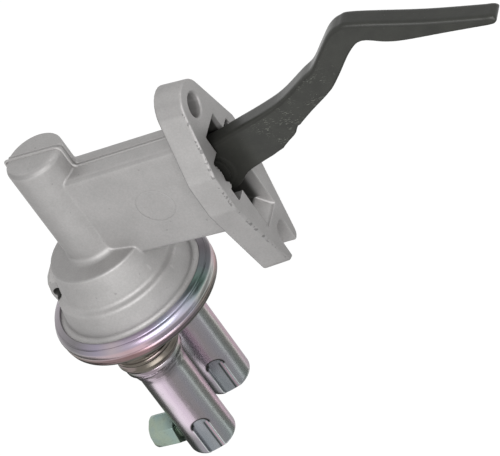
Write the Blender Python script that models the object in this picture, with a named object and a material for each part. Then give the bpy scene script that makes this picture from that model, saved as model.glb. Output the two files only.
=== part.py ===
"""Mechanical fuel pump with a forged rocker arm and two drawn steel cans.

Frame: the origin is on the mounting face, midway between the bolt hole and the open slot.
+X leaves the mounting face towards the engine, +Z runs up the tower, +Y completes the frame.
"""
import math

import bmesh
import bpy
from mathutils import Matrix, Vector

# Driving dimensions, in metres
GAP = 0.0003
BOLT_SPACING = 0.075
FLANGE_THICKNESS = 0.0125
FLANGE_HALF_WIDTH = 0.0187
FLANGE_FOOT = 0.0098
TOWER_X = -0.079
TOWER_RADIUS = 0.0133
TOWER_TOP_Z = 0.036
NECK_HALF_WIDTH = 0.0093
WALL = 0.0023
PIVOT_X = -0.0075
PIVOT_Z = 0.006
PIN_RADIUS = 0.0035
ARM_THICKNESS = 0.0094
CLAMP_RADIUS = 0.0364
CLAMP_TOP_Z = -0.0458
CLAMP_THICKNESS = 0.0024
DIAPHRAGM_THICKNESS = 0.001
COVER_SHEET = 0.0012
COVER_FLOOR_Z = -0.0575
NECK_TUBE_RADIUS = 0.0144
NECK_TUBE_LENGTH = 0.0108
CAN_RADIUS = 0.011
CAN_SHEET = 0.001
CAN_SPACING = 0.0342
CAN_END_Z = -0.1261
ROD_RADIUS = 0.0025
HEX_FLATS = 0.014
TURN_STEPS = 36

# Places and sizes that follow from them
HOLE_Z = BOLT_SPACING / 2
SLOT_Z = -BOLT_SPACING / 2 - 0.0001
FLANGE_BOTTOM_Z = SLOT_Z - FLANGE_FOOT
CROWN_Z = HOLE_Z + 0.0008
HOLE_RADIUS = 0.0052
SLOT_HALF_WIDTH = 0.0047
CAVITY_HALF_WIDTH = NECK_HALF_WIDTH - WALL
PIN_BORE = PIN_RADIUS + GAP
PIN_HALF_LENGTH = 0.0125
POCKET_HALF_WIDTH = PIN_HALF_LENGTH + GAP
POCKET_BACK_X = PIVOT_X - PIN_RADIUS - GAP
WASHER_THICKNESS = 0.0015
HUB_HALF_WIDTH = CAVITY_HALF_WIDTH - WASHER_THICKNESS - 2 * GAP
HUB_RADIUS = 0.0085
LEVER_TOP_Z = 0.002
SEAT_UNDERSIDE_Z = LEVER_TOP_Z + GAP
CLAMP_BOTTOM_Z = CLAMP_TOP_Z - CLAMP_THICKNESS
DIAPHRAGM_RIM_Z = CLAMP_BOTTOM_Z - GAP
COVER_RIM_Z = DIAPHRAGM_RIM_Z - DIAPHRAGM_THICKNESS - GAP
DOME_ROOF_Z = -0.0208
LEVER_FLOOR_Z = DOME_ROOF_Z + 0.0035
TOWER_BORE = TOWER_RADIUS - 0.0031
TOWER_FILLET = 0.003
STEP_RADIUS = CLAMP_RADIUS - 0.0093
SHOULDER_RADIUS = (TOWER_RADIUS + TOWER_FILLET + STEP_RADIUS) / 2 + 0.0003
FOOT_RADIUS = CLAMP_RADIUS - 0.0058
VENT_MOUTH_Y = -0.0092
COVER_WALL_RADIUS = CLAMP_RADIUS - 0.0027
PLATE_TOP_Z = CLAMP_TOP_Z + 0.0018
PLATE_SHEET = 0.0012
PLATE_RADIUS = (CLAMP_RADIUS + 0.0036) / 2
RETAINER_RADIUS = 0.0080
NECK_TUBE_END_Z = COVER_FLOOR_Z - NECK_TUBE_LENGTH
CAN_RIM_RADIUS = NECK_TUBE_RADIUS - 0.0008
CAN_RIM_Z = NECK_TUBE_END_Z - 0.0035
CAN_X = TOWER_X + 0.0008
OUTLET_Y = -CAN_SPACING / 2
INLET_Y = CAN_SPACING / 2
FITTING_Z = CAN_END_Z + 0.0108
FITTING_END_X = CAN_X - 0.0236
RECESS_ANGLE = math.radians(23.5)
RECESS_WIDTH = 0.0078
RECESS_TOP_Z = CAN_END_Z + 0.0207
RECESS_FLOOR = CAN_RADIUS - 0.0024

COLOURS = {
    "casting": ((0.52, 0.52, 0.51), 0.55, 0.6),
    "zinc_steel": ((0.55, 0.50, 0.56), 0.25, 1.0),
    "zinc_fitting": ((0.52, 0.56, 0.46), 0.35, 0.9),
    "black_steel": ((0.06, 0.06, 0.055), 0.5, 0.7),
    "spring_steel": ((0.40, 0.40, 0.42), 0.35, 1.0),
    "rubber": ((0.03, 0.03, 0.03), 0.8, 0.0),
    "phenolic": ((0.25, 0.12, 0.05), 0.6, 0.0),
}


def clear_scene():
    for item in list(bpy.data.objects):
        bpy.data.objects.remove(item, do_unlink=True)


def material(name, finish):
    colour, roughness, metallic = COLOURS[finish]
    mat = bpy.data.materials.new(name)
    mat.use_nodes = True
    shader = mat.node_tree.nodes["Principled BSDF"]
    shader.inputs["Base Color"].default_value = (*colour, 1.0)
    shader.inputs["Roughness"].default_value = roughness
    shader.inputs["Metallic"].default_value = metallic
    mat.diffuse_color = (*colour, 1.0)
    return mat


def link(bm, name, origin=(0.0, 0.0, 0.0)):
    """Turns a bmesh in world coordinates into an object whose origin is at the given point."""
    bmesh.ops.translate(bm, verts=bm.verts, vec=-Vector(origin))
    bmesh.ops.recalc_face_normals(bm, faces=bm.faces)
    mesh = bpy.data.meshes.new(name)
    bm.to_mesh(mesh)
    bm.free()
    obj = bpy.data.objects.new(name, mesh)
    obj.location = origin
    bpy.context.scene.collection.objects.link(obj)
    return obj


def dress(obj, finish, sharp_angle=32):
    """Gives a piece its own material and smooth shading with sharp corners kept."""
    if obj.type == "MESH":
        obj.data.shade_smooth()
        obj.data.set_sharp_from_angle(angle=math.radians(sharp_angle))
    obj.data.materials.clear()
    obj.data.materials.append(material(obj.name, finish))
    return obj


def weld(mesh, distance):
    """Merges points that a cut left almost on top of each other."""
    bm = bmesh.new()
    bm.from_mesh(mesh)
    bmesh.ops.remove_doubles(bm, verts=bm.verts, dist=distance)
    bmesh.ops.dissolve_degenerate(bm, edges=bm.edges, dist=distance)
    bm.to_mesh(mesh)
    bm.free()


def combine(base, tool, operation):
    """Joins the tool to the base, or cuts it away, and removes the tool.

    The two meshes are in millimetres meanwhile, which suits the solver's tolerances.
    """
    for obj in (base, tool):
        obj.data.transform(Matrix.Scale(1000.0, 4) @ obj.matrix_basis)
        obj.matrix_basis = Matrix.Identity(4)
    bpy.context.view_layer.update()
    modifier = base.modifiers.new("combine", "BOOLEAN")
    modifier.operation = operation
    modifier.solver = "EXACT"
    modifier.object = tool
    graph = bpy.context.evaluated_depsgraph_get()
    result = bpy.data.meshes.new_from_object(base.evaluated_get(graph))
    base.modifiers.clear()
    weld(result, 0.002)
    result.transform(Matrix.Scale(0.001, 4))
    base.data = result
    bpy.data.objects.remove(tool, do_unlink=True)


def cut(base, tool):
    combine(base, tool, "DIFFERENCE")


def join(base, tool):
    combine(base, tool, "UNION")


def arc(centre, radius, start, end, steps):
    """Points on an arc in a plane, with angles in degrees."""
    points = []
    for i in range(steps + 1):
        angle = math.radians(start + (end - start) * i / steps)
        points.append((centre[0] + radius * math.cos(angle), centre[1] + radius * math.sin(angle)))
    return points


def rounded(corners, default=0.0, steps=3):
    """A closed outline whose corners (a, b, radius) are rounded with arcs."""
    outline = []
    count = len(corners)
    for i, corner in enumerate(corners):
        here = Vector(corner[:2])
        radius = corner[2] if len(corner) > 2 else default
        before = (Vector(corners[i - 1][:2]) - here).normalized()
        after = (Vector(corners[(i + 1) % count][:2]) - here).normalized()
        half = before.angle(after) / 2
        if radius <= 0 or half > math.radians(88):
            outline.append(tuple(here))
            continue
        centre = here + (before + after).normalized() * (radius / math.sin(half))
        first = here + before * (radius / math.tan(half)) - centre
        last = here + after * (radius / math.tan(half)) - centre
        sweep = first.angle_signed(last)
        for k in range(steps + 1):
            turned_arm = first.copy()
            turned_arm.rotate(Matrix.Rotation(-sweep * k / steps, 2))
            outline.append(tuple(centre + turned_arm))
    return outline


def smooth_edge(points, steps):
    """Points along a Catmull-Rom curve that passes through the given points."""
    padded = [points[0]] + list(points) + [points[-1]]
    curve = []
    for a, b, c, d in zip(padded, padded[1:], padded[2:], padded[3:]):
        for k in range(steps):
            t = k / steps
            curve.append(tuple(
                0.5 * (2 * q + (r - p) * t + (2 * p - 5 * q + 4 * r - s) * t ** 2
                       + (3 * q - p - 3 * r + s) * t ** 3)
                for p, q, r, s in zip(a, b, c, d)))
    curve.append(tuple(points[-1]))
    return curve


def turned(name, profile, axis=(0.0, 0.0), segments=TURN_STEPS, closed=True):
    """Spins a profile of (radius, z) points about a vertical axis."""
    bm = bmesh.new()
    verts = [bm.verts.new((radius, 0.0, z)) for radius, z in profile]
    pairs = list(zip(verts, verts[1:]))
    if closed:
        pairs.append((verts[-1], verts[0]))
    edges = [bm.edges.new(pair) for pair in pairs]
    bmesh.ops.spin(bm, geom=verts + edges, cent=(0, 0, 0), axis=(0, 0, 1), dvec=(0, 0, 0),
                   angle=math.tau, steps=segments, use_merge=True)
    bmesh.ops.remove_doubles(bm, verts=bm.verts, dist=1e-6)
    bmesh.ops.translate(bm, verts=bm.verts, vec=(axis[0], axis[1], 0.0))
    return link(bm, name)


def loft(name, sections):
    """Closes a solid over a row of outlines that have the same number of points."""
    bm = bmesh.new()
    loops = [[bm.verts.new(point) for point in section] for section in sections]
    for lower, upper in zip(loops, loops[1:]):
        for i in range(len(lower)):
            j = (i + 1) % len(lower)
            bm.faces.new((lower[i], lower[j], upper[j], upper[i]))
    bm.faces.new(list(reversed(loops[0])))
    bm.faces.new(loops[-1])
    return link(bm, name)


def along_x(outline, x):
    return [(x, a, b) for a, b in outline]


def along_y(outline, y):
    return [(a, y, b) for a, b in outline]


def box(name, low, high):
    outline = [(low[1], low[2]), (high[1], low[2]), (high[1], high[2]), (low[1], high[2])]
    return loft(name, [along_x(outline, low[0]), along_x(outline, high[0])])


def cylinder(name, centre, direction, radius, length, segments=24, radius_end=None):
    """A cylinder or cone that starts at the centre and runs along the direction."""
    bm = bmesh.new()
    end = radius if radius_end is None else radius_end
    bmesh.ops.create_cone(bm, cap_ends=True, segments=segments, radius1=radius, radius2=end,
                          depth=length)
    turn = Vector(direction).to_track_quat("Z", "Y").to_matrix().to_4x4()
    place = Matrix.Translation(Vector(centre) + Vector(direction).normalized() * length / 2)
    bmesh.ops.transform(bm, verts=bm.verts, matrix=place @ turn)
    return link(bm, name)


def edge_bevel(obj, width, segments, angle):
    """Rounds the edges of a convex-edged piece that are sharper than the angle."""
    bm = bmesh.new()
    bm.from_mesh(obj.data)
    sharp = [edge for edge in bm.edges if edge.is_manifold
             and edge.calc_face_angle(0.0) > math.radians(angle)]
    bmesh.ops.bevel(bm, geom=sharp, offset=width, segments=segments, profile=0.5,
                    affect="EDGES", clamp_overlap=True)
    bm.to_mesh(obj.data)
    bm.free()


def coil(name, x, y, low, high, radius, wire, turns, finish, steps_per_turn=10, top_radius=None):
    """A compression spring with closed ends, as a round wire along a helix."""
    rise = high - low - 2 * wire
    end_radius = radius if top_radius is None else top_radius
    count = int(turns * steps_per_turn)
    curve = bpy.data.curves.new(name, "CURVE")
    curve.dimensions = "3D"
    curve.bevel_depth = wire
    curve.bevel_resolution = 1
    curve.use_fill_caps = True
    spline = curve.splines.new("POLY")
    spline.points.add(count)
    for i in range(count + 1):
        t = i / count
        angle = math.tau * turns * t
        eased = t + math.sin(math.tau * t) * -0.11
        bow = radius + (end_radius - radius) * t
        spline.points[i].co = (bow * math.cos(angle), bow * math.sin(angle), rise * eased, 1.0)
    obj = bpy.data.objects.new(name, curve)
    obj.location = (x, y, low + wire)
    bpy.context.scene.collection.objects.link(obj)
    return dress(obj, finish)


def flange_outline(grow=0.0):
    """The mounting flange seen from the engine, as (y, z), grown outwards by the draft."""
    crown = 0.0106 + grow
    half = FLANGE_HALF_WIDTH + grow
    foot = FLANGE_BOTTOM_Z - grow
    shoulder_z = 0.0142
    lean = math.degrees(math.atan2(half - crown, CROWN_Z - shoulder_z))
    top = arc((0.0, CROWN_Z), crown, lean, 180 - lean, 14)
    right = [(0.0046, foot), (0.0066 + grow, foot), (0.0078 + grow, foot + 0.0007),
             (0.0084 + grow, foot + 0.002), (half - 0.0005, -0.0062), (half, -0.004),
             (half, shoulder_z - 0.0014), (half - 0.0004, shoulder_z + 0.0003)]
    left = [(-y, z) for y, z in reversed(right)]
    return right + top + left


def neck_section(x):
    """The neck's cross-section: a near half, a lower far half and the parting step between."""
    top = 0.0263 + 0.041 * x
    bottom = -0.0236 - 0.0115 * x
    half = NECK_HALF_WIDTH
    step = 0.0014
    corners = [(-half, bottom, 0.002), (half, bottom, 0.002), (half, top - step, 0.0028),
               (0.0003, top - step, 0.0), (0.0003, top + 0.0003, 0.0002),
               (-0.0008, top + 0.0003, 0.0002), (-0.0010, top, 0.0), (-half, top, 0.0024)]
    return along_x(rounded(corners), x)


def body_profile():
    """Tower, dome and clamping rim as one turned outline, from the top of the axis down."""
    outer = [(0.0, TOWER_TOP_Z)]
    outer += arc((TOWER_RADIUS - 0.001, TOWER_TOP_Z - 0.001), 0.001, 90, 0, 2)
    outer += arc((TOWER_RADIUS + TOWER_FILLET, DOME_ROOF_Z + 0.0067), TOWER_FILLET, 180, 266, 4)
    outer += arc((SHOULDER_RADIUS, DOME_ROOF_Z + 0.0016), 0.0011, 80, 10, 2)
    outer += [(STEP_RADIUS - 0.0015, CLAMP_TOP_Z + 0.0150)]
    outer += arc((STEP_RADIUS + 0.0003, CLAMP_TOP_Z + 0.0146), 0.0018, 190, 255, 2)[1:]
    outer += arc((STEP_RADIUS, CLAMP_TOP_Z + 0.0107), 0.0019, 75, 12, 2)
    outer += [(FOOT_RADIUS, CLAMP_TOP_Z + 0.0022)]
    outer += arc((FOOT_RADIUS + 0.0024, CLAMP_TOP_Z + 0.0020), 0.002, 190, 270, 2)
    outer += [(CLAMP_RADIUS, CLAMP_TOP_Z), (CLAMP_RADIUS, CLAMP_BOTTOM_Z), (0.0, CLAMP_BOTTOM_Z)]
    return outer


def dome_hollow():
    """The spring chamber that is cut into the dome from below."""
    open_end = CLAMP_BOTTOM_Z - 0.001
    return [(0.0, DOME_ROOF_Z), (SHOULDER_RADIUS - 0.0020, DOME_ROOF_Z),
            (SHOULDER_RADIUS - 0.0008, DOME_ROOF_Z - 0.0007),
            (STEP_RADIUS - 0.0036, CLAMP_TOP_Z + 0.0133),
            (STEP_RADIUS - 0.0016, CLAMP_TOP_Z + 0.0113),
            (FOOT_RADIUS - 0.0024, CLAMP_TOP_Z + 0.0013), (FOOT_RADIUS - 0.0022, open_end),
            (0.0, open_end)]


def vent_boss():
    """The boss on the dome that carries the vent, with its near upper corner sloped away."""
    root = TOWER_X - TOWER_RADIUS + 0.0003
    top = DOME_ROOF_Z + 0.0027
    low = CLAMP_TOP_Z + 0.0070
    crest = top - 0.0080
    lean = 0.0014
    wall = TOWER_X - STEP_RADIUS
    outline = rounded([(root, top, 0), (TOWER_X - SHOULDER_RADIUS + 0.0002, top, 0.003),
                       (wall - 0.0016, crest, 0.002), (wall - 0.0030, low + 0.0068, 0.002),
                       (wall - 0.0028, low + 0.0024, 0.001), (wall - 0.0012, low, 0.0005),
                       (root, low, 0)])
    near = [(min(x + lean, root), min(z, crest)) for x, z in outline]
    return loft("boss", [along_y(near, VENT_MOUTH_Y), along_y(outline, VENT_MOUTH_Y + 0.0047),
                         along_y(outline, 0.003)])


def staking_lips(body):
    """Upset metal that holds each end of the pivot pin in its pocket."""
    for side in (-1, 1):
        for low, high, reach in ((0.0012, 0.0044, 0.0100), (0.0050, 0.0078, 0.0092),
                                 (0.0084, 0.0112, 0.0104)):
            inner, outer = sorted((side * reach, side * (POCKET_HALF_WIDTH + 0.002)))
            join(body, box("lip", (-0.0034, inner, low), (-0.0007, outer, high)))


def make_body():
    body = turned("body_casting", body_profile(), (TOWER_X, 0.0), segments=TURN_STEPS, closed=False)
    far_step = 0.0015
    wide = TOWER_RADIUS + 0.0027
    cut(body, box("far_step", (TOWER_X - wide, 0.0003, TOWER_TOP_Z - far_step),
                  (TOWER_X + wide, wide, TOWER_TOP_Z + 0.002)))
    join(body, loft("neck", [neck_section(TOWER_X), neck_section(-0.006)]))
    flange = loft("flange", [along_x(flange_outline(0.0009), -FLANGE_THICKNESS),
                             along_x(flange_outline(0.0009), -FLANGE_THICKNESS + 0.0008),
                             along_x(flange_outline(0.0003), -0.0007),
                             along_x(flange_outline(-0.0003), 0.0)])
    join(body, flange)
    join(body, vent_boss())
    cut_cavities(body)
    cut_flange_openings(body)
    staking_lips(body)
    return dress(body, "casting")


def cut_cavities(body):
    cut(body, turned("chamber", dome_hollow(), (TOWER_X, 0.0), segments=TURN_STEPS, closed=False))
    roof = TOWER_TOP_Z - 0.0035
    cut(body, cylinder("bore", (TOWER_X, 0, LEVER_FLOOR_Z), (0, 0, 1), TOWER_BORE,
                       roof - LEVER_FLOOR_Z, segments=28))
    half = CAVITY_HALF_WIDTH
    cut(body, box("lever_room", (TOWER_X, -half, LEVER_FLOOR_Z), (0.002, half, 0.0205)))
    cut(body, cylinder("rod_hole", (TOWER_X, 0, DOME_ROOF_Z - 0.002), (0, 0, 1),
                       ROD_RADIUS + 0.0007, 0.008, segments=24))
    direction = Vector((0.5, 0.86, 0.0))
    mouth = Vector((TOWER_X - STEP_RADIUS + 0.0015, VENT_MOUTH_Y, CLAMP_TOP_Z + 0.0137))
    cut(body, cylinder("vent", mouth - direction * 0.004, direction, 0.0019, 0.013, segments=16))


def cut_flange_openings(body):
    narrow = CAVITY_HALF_WIDTH + 0.0003
    floor = [(-0.0125, LEVER_FLOOR_Z), (-0.0118, -0.0178), (-0.001, -0.0278), (0.001, -0.0278),
             (0.001, 0.0254), (-0.006, 0.0254), (-0.0125, 0.0205)]
    cut(body, loft("window", [along_y(floor, -narrow), along_y(floor, narrow)]))
    wide = POCKET_HALF_WIDTH
    cut(body, box("pin_pocket", (POCKET_BACK_X, -wide, -0.0046), (0.001, wide, 0.0167)))
    cut(body, cylinder("bolt_hole", (0.001, 0, HOLE_Z), (-1, 0, 0), HOLE_RADIUS, 0.016))
    cut(body, cylinder("hole_chamfer", (0.0002, 0, HOLE_Z), (-1, 0, 0), HOLE_RADIUS + 0.0009,
                       0.0014, radius_end=HOLE_RADIUS - 0.0005))
    slot = [(-SLOT_HALF_WIDTH, FLANGE_BOTTOM_Z - 0.003), (SLOT_HALF_WIDTH, FLANGE_BOTTOM_Z - 0.003)]
    slot += arc((0.0, SLOT_Z), SLOT_HALF_WIDTH, 0, 180, 12)
    cut(body, loft("slot", [along_x(slot, -0.016), along_x(slot, 0.001)]))


def make_ring():
    """The crimp ring: a lip over the casting, a round shoulder and a rolled lower edge."""
    lip = CLAMP_TOP_Z + GAP
    lip_radius = CLAMP_RADIUS - 0.0029
    shoulder = CLAMP_RADIUS - 0.0014
    groove = CLAMP_RADIUS + 0.0005
    roll = (CLAMP_RADIUS - 0.0017, CLAMP_TOP_Z - 0.0074)
    inner_rim_z = COVER_RIM_Z - COVER_SHEET - GAP
    outer = [(lip_radius, lip), (lip_radius + 0.0001, lip + 0.0006)]
    outer += arc((lip_radius + 0.0010, lip + 0.0002), 0.0009, 135, 70, 1)
    outer += [(CLAMP_RADIUS - 0.0002, lip + 0.0006)]
    outer += arc((shoulder, CLAMP_TOP_Z - 0.0032), 0.003, 50, -15, 3)
    outer += [(groove, CLAMP_TOP_Z - 0.0051), (groove, CLAMP_TOP_Z - 0.0070)]
    outer += arc(roll, 0.0022, -10, -80, 2)
    outer += [(roll[0] - 0.0005, roll[1] - 0.0024), (roll[0] - 0.0006, roll[1] - 0.0016)]
    inner = arc(roll, 0.0010, -80, -5, 1)
    inner += [(CLAMP_RADIUS - 0.0006, CLAMP_TOP_Z - 0.0057), (CLAMP_RADIUS - 0.0005, inner_rim_z),
              (CLAMP_RADIUS + GAP, inner_rim_z), (CLAMP_RADIUS + GAP, lip)]
    ring = turned("crimp_ring", outer + inner, (TOWER_X, 0.0), segments=TURN_STEPS)
    return dress(ring, "zinc_steel", sharp_angle=40)


def make_cover():
    """The pressed cover, with a short drawn neck over each can."""
    wall = COVER_WALL_RADIUS
    sheet = COVER_SHEET
    top = COVER_RIM_Z
    bend = (wall - 0.003, COVER_FLOOR_Z + 0.003)
    profile = [(0.0, COVER_FLOOR_Z + sheet)] + arc(bend, 0.003 - sheet, -90, 0, 4)
    profile += [(wall - sheet, top), (CLAMP_RADIUS, top), (CLAMP_RADIUS, top - sheet)]
    profile += [(wall, top - sheet)] + arc(bend, 0.003, 0, -90, 4) + [(0.0, COVER_FLOOR_Z)]
    cover = turned("lower_cover", profile, (TOWER_X, 0.0), segments=TURN_STEPS, closed=False)
    for y in (OUTLET_Y, INLET_Y):
        join(cover, cylinder("neck", (CAN_X, y, COVER_FLOOR_Z + sheet / 2), (0, 0, -1),
                             NECK_TUBE_RADIUS, COVER_FLOOR_Z + sheet / 2 - NECK_TUBE_END_Z))
    for y in (OUTLET_Y, INLET_Y):
        cut(cover, cylinder("bore", (CAN_X, y, COVER_FLOOR_Z + 2 * sheet), (0, 0, -1),
                            NECK_TUBE_RADIUS - sheet, 2 * NECK_TUBE_LENGTH))
    return dress(cover, "zinc_steel")


def can_profile():
    """A drawn can from its plug-in sleeve down to its round closed end."""
    sheet = CAN_SHEET
    sleeve = NECK_TUBE_RADIUS - COVER_SHEET - GAP
    top = NECK_TUBE_END_Z - GAP
    sleeve_end = NECK_TUBE_END_Z + 0.0033
    outer = [(sleeve, sleeve_end), (sleeve, top), (CAN_RIM_RADIUS, top),
             (CAN_RIM_RADIUS, CAN_RIM_Z), (CAN_RADIUS + 0.0015, CAN_RIM_Z - 0.0010),
             (CAN_RADIUS + 0.0009, CAN_RIM_Z - 0.0037), (CAN_RADIUS, CAN_RIM_Z - 0.0060)]
    outer += arc((CAN_RADIUS - 0.003, CAN_END_Z + 0.003), 0.003, 0, -90, 4)
    outer += [(0.0, CAN_END_Z)]
    inner = [(0.0, CAN_END_Z + sheet)]
    inner += arc((CAN_RADIUS - 0.003, CAN_END_Z + 0.003), 0.003 - sheet, -90, 0, 3)
    inner += [(CAN_RADIUS - sheet, CAN_RIM_Z - 0.0057),
              (CAN_RADIUS + 0.0009 - sheet, CAN_RIM_Z - 0.0032),
              (sleeve - sheet, CAN_RIM_Z - 0.0004), (sleeve - sheet, sleeve_end)]
    return inner + outer


def make_can(name, y):
    """One can with the pressed recess near its closed end and a hole for its fitting."""
    can = turned(name, can_profile(), (CAN_X, y), segments=24, closed=False)
    out = Vector((math.sin(RECESS_ANGLE), -math.cos(RECESS_ANGLE), 0.0))
    side = Vector((math.cos(RECESS_ANGLE), math.sin(RECESS_ANGLE), 0.0))
    centre = Vector((CAN_X, y, 0.0))

    def slab(label, near, far, half, top, low, far_low):
        """A block with an arched top between two distances from the can's axis."""
        sections = []
        for reach, foot in ((near, low), (far, far_low)):
            outline = [(-half, foot), (half, foot)] + arc((0.0, top - half), half, 30, 150, 4)
            sections.append([centre + out * reach + side * a + Vector((0, 0, b))
                             for a, b in outline])
        return loft(label, sections)

    join(can, slab("pad", RECESS_FLOOR - CAN_SHEET, CAN_RADIUS - 0.0015, RECESS_WIDTH / 2 + 0.001,
                   RECESS_TOP_Z + 0.001, CAN_END_Z + 0.0005, CAN_END_Z + 0.0017))
    cut(can, slab("recess", RECESS_FLOOR, CAN_RADIUS + 0.002, RECESS_WIDTH / 2,
                  RECESS_TOP_Z, CAN_END_Z - 0.002, CAN_END_Z - 0.002))
    cut(can, cylinder("port", (CAN_X - CAN_RADIUS + 0.004, y, FITTING_Z), (-1, 0, 0),
                      0.0050, 0.01, segments=24))
    return dress(can, "zinc_steel")


def make_fitting(name, y):
    """A hexagonal flare fitting with a shank in the can's wall and a bore right through."""
    start = CAN_X - CAN_RADIUS + 0.0012
    fitting = cylinder(name, (start, y, FITTING_Z), (-1, 0, 0), 0.0047, 0.0032, segments=24)
    corner = HEX_FLATS / math.sqrt(3)
    hexagon = []
    for i in range(6):
        angle = math.radians(140 + 60 * i)
        hexagon.append((y + corner * math.cos(angle), FITTING_Z + corner * math.sin(angle)))
    hex_start = start - 0.0024
    nut = loft("nut", [along_x(hexagon, hex_start), along_x(hexagon, FITTING_END_X)])
    cone = 0.0105
    trim = cylinder("trim", (hex_start + 0.001, y, FITTING_Z), (-1, 0, 0), cone, 0.0165,
                    segments=32, radius_end=0.0066)
    combine(nut, trim, "INTERSECT")
    join(fitting, nut)
    cut(fitting, cylinder("bore", (start + 0.002, y, FITTING_Z), (-1, 0, 0), 0.0032, 0.02,
                          segments=24))
    cut(fitting, cylinder("flare", (FITTING_END_X - 0.0005, y, FITTING_Z), (1, 0, 0), 0.0052, 0.0055,
                          segments=24, radius_end=0.0046))
    return dress(fitting, "zinc_fitting")


def make_rocker():
    """The forged arm, drawn from its pivot: blade for the cam, joggle, hub and inner lever."""
    upper = [(-0.0100, 0.0075), (-0.0005, 0.0116), (0.0095, 0.0142), (0.0175, 0.0166),
             (0.0320, 0.0207), (0.0434, 0.0248), (0.0565, 0.0322), (0.0635, 0.0360),
             (0.0707, 0.0429), (0.0779, 0.0497), (0.0835, 0.0523), (0.0901, 0.0520),
             (0.1168, 0.0439), (0.1400, 0.0382)]
    lower = [(0.1405, 0.0340), (0.1230, 0.0360), (0.1060, 0.0378), (0.0984, 0.0396),
             (0.0898, 0.0430), (0.0830, 0.0395), (0.0738, 0.0305), (0.0646, 0.0230),
             (0.0539, 0.0164), (0.0432, 0.0092), (0.0343, 0.0029), (0.0214, -0.0021),
             (0.0127, -0.0054), (0.0057, -0.0108), (-0.0025, -0.0120), (-0.0100, -0.0100)]
    tip = [(0.1431, 0.0380), (0.1443, 0.0366), (0.1439, 0.0348)]
    outline = smooth_edge(upper, 2) + tip + smooth_edge(lower, 2)
    outline = [(PIVOT_X + a, PIVOT_Z + b) for a, b in outline]
    half = ARM_THICKNESS / 2
    edge = 0.0009
    inset = [tuple(Vector(p) + (inward(outline, i) * edge)) for i, p in enumerate(outline)]
    sections = [along_y(inset, -half), along_y(outline, -half + edge),
                along_y(outline, half - edge), along_y(inset, half)]
    arm = loft("rocker_arm", sections)
    hub = cylinder("hub", (PIVOT_X, -HUB_HALF_WIDTH, PIVOT_Z), (0, 1, 0), HUB_RADIUS,
                   2 * HUB_HALF_WIDTH, segments=32)
    join(arm, hub)
    join(arm, make_lever())
    cut(arm, cylinder("bore", (PIVOT_X, -0.01, PIVOT_Z), (0, 1, 0), PIN_BORE, 0.02, segments=32))
    return dress(move_origin(arm, (PIVOT_X, 0.0, PIVOT_Z)), "black_steel")


def inward(outline, i):
    """The unit vector that points into a clockwise outline at one of its points."""
    before = Vector(outline[i - 1])
    after = Vector(outline[(i + 1) % len(outline)])
    along = (after - before).normalized()
    return Vector((along.y, -along.x))


def make_lever():
    """The inner lever, which narrows to a fork that lifts the rod's head."""
    end = TOWER_X - 0.0070
    root = PIVOT_X - 0.0080
    middle = TOWER_X + 0.0390
    start = TOWER_X + 0.0130
    top = LEVER_TOP_Z
    profile = [(root, PIVOT_Z + 0.0050), (middle, top + 0.0015), (start, top - 0.0008),
               (TOWER_X + 0.0060, top - 0.0005), (TOWER_X, top), (TOWER_X - 0.0060, top - 0.0005),
               (end, top - 0.0012), (end, top - 0.0050), (start, top - 0.0072),
               (middle, top - 0.0080), (root, PIVOT_Z - 0.0105)]
    half = ARM_THICKNESS / 2 + 0.0006
    profile.reverse()
    lever = loft("lever", [along_y(profile, -half), along_y(profile, half)])
    clear = ROD_RADIUS + 0.0005
    slot = [(end - 0.002, -clear), (TOWER_X, -clear)]
    slot += arc((TOWER_X, 0.0), clear + 0.0003, -75, 75, 6)
    slot += [(TOWER_X, clear), (end - 0.002, clear)]
    cut(lever, loft("fork", [[(a, b, -0.012) for a, b in slot], [(a, b, 0.012) for a, b in slot]]))
    return lever


def move_origin(obj, point):
    obj.data.transform(Matrix.Translation(-Vector(point)))
    obj.location = point
    return obj


def make_pivot():
    pin = cylinder("pivot_pin", (PIVOT_X, -PIN_HALF_LENGTH, PIVOT_Z), (0, 1, 0), PIN_RADIUS,
                   2 * PIN_HALF_LENGTH)
    edge_bevel(pin, 0.0004, 1, 60)
    dress(pin, "spring_steel")
    for side, name in ((-1, "hub_washer_near"), (1, "hub_washer_far")):
        start = side * (HUB_HALF_WIDTH + GAP)
        washer = cylinder(name, (PIVOT_X, start, PIVOT_Z), (0, side, 0), HUB_RADIUS - 0.0017,
                          WASHER_THICKNESS, segments=20)
        cut(washer, cylinder("bore", (PIVOT_X, start - side * 0.001, PIVOT_Z), (0, side, 0),
                             PIN_BORE, 0.004, segments=20))
        dress(washer, "spring_steel")


def make_rod():
    """The pull rod: a head above the fork, a plain shank and a riveted lower end."""
    head = SEAT_UNDERSIDE_Z
    low = PLATE_TOP_Z - 2 * PLATE_SHEET - DIAPHRAGM_THICKNESS - 3 * GAP
    profile = [(0.0, head + 0.0026), (0.0030, head + 0.0024), (0.0042, head + 0.0016),
               (0.0042, head), (ROD_RADIUS, head), (ROD_RADIUS, low - GAP),
               (0.0040, low - GAP), (0.0040, low - 0.0012), (0.0030, low - 0.0020),
               (0.0, low - 0.0021)]
    rod = turned("pull_rod", profile, (TOWER_X, 0.0), segments=16, closed=False)
    return dress(rod, "spring_steel")


def make_seat():
    """The pressed seat that carries the return spring on the fork, around the rod's head."""
    low = SEAT_UNDERSIDE_Z
    rim = TOWER_BORE - 0.0006
    profile = [(0.0046, low), (rim - 0.0004, low), (rim, low + 0.0005), (rim, low + 0.0022),
               (rim - 0.0008, low + 0.0022), (rim - 0.0010, low + 0.0011), (0.0060, low + 0.0011),
               (0.0056, low + 0.0026), (0.0046, low + 0.0026)]
    return dress(turned("spring_seat", profile, (TOWER_X, 0.0), segments=20), "spring_steel")


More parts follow.
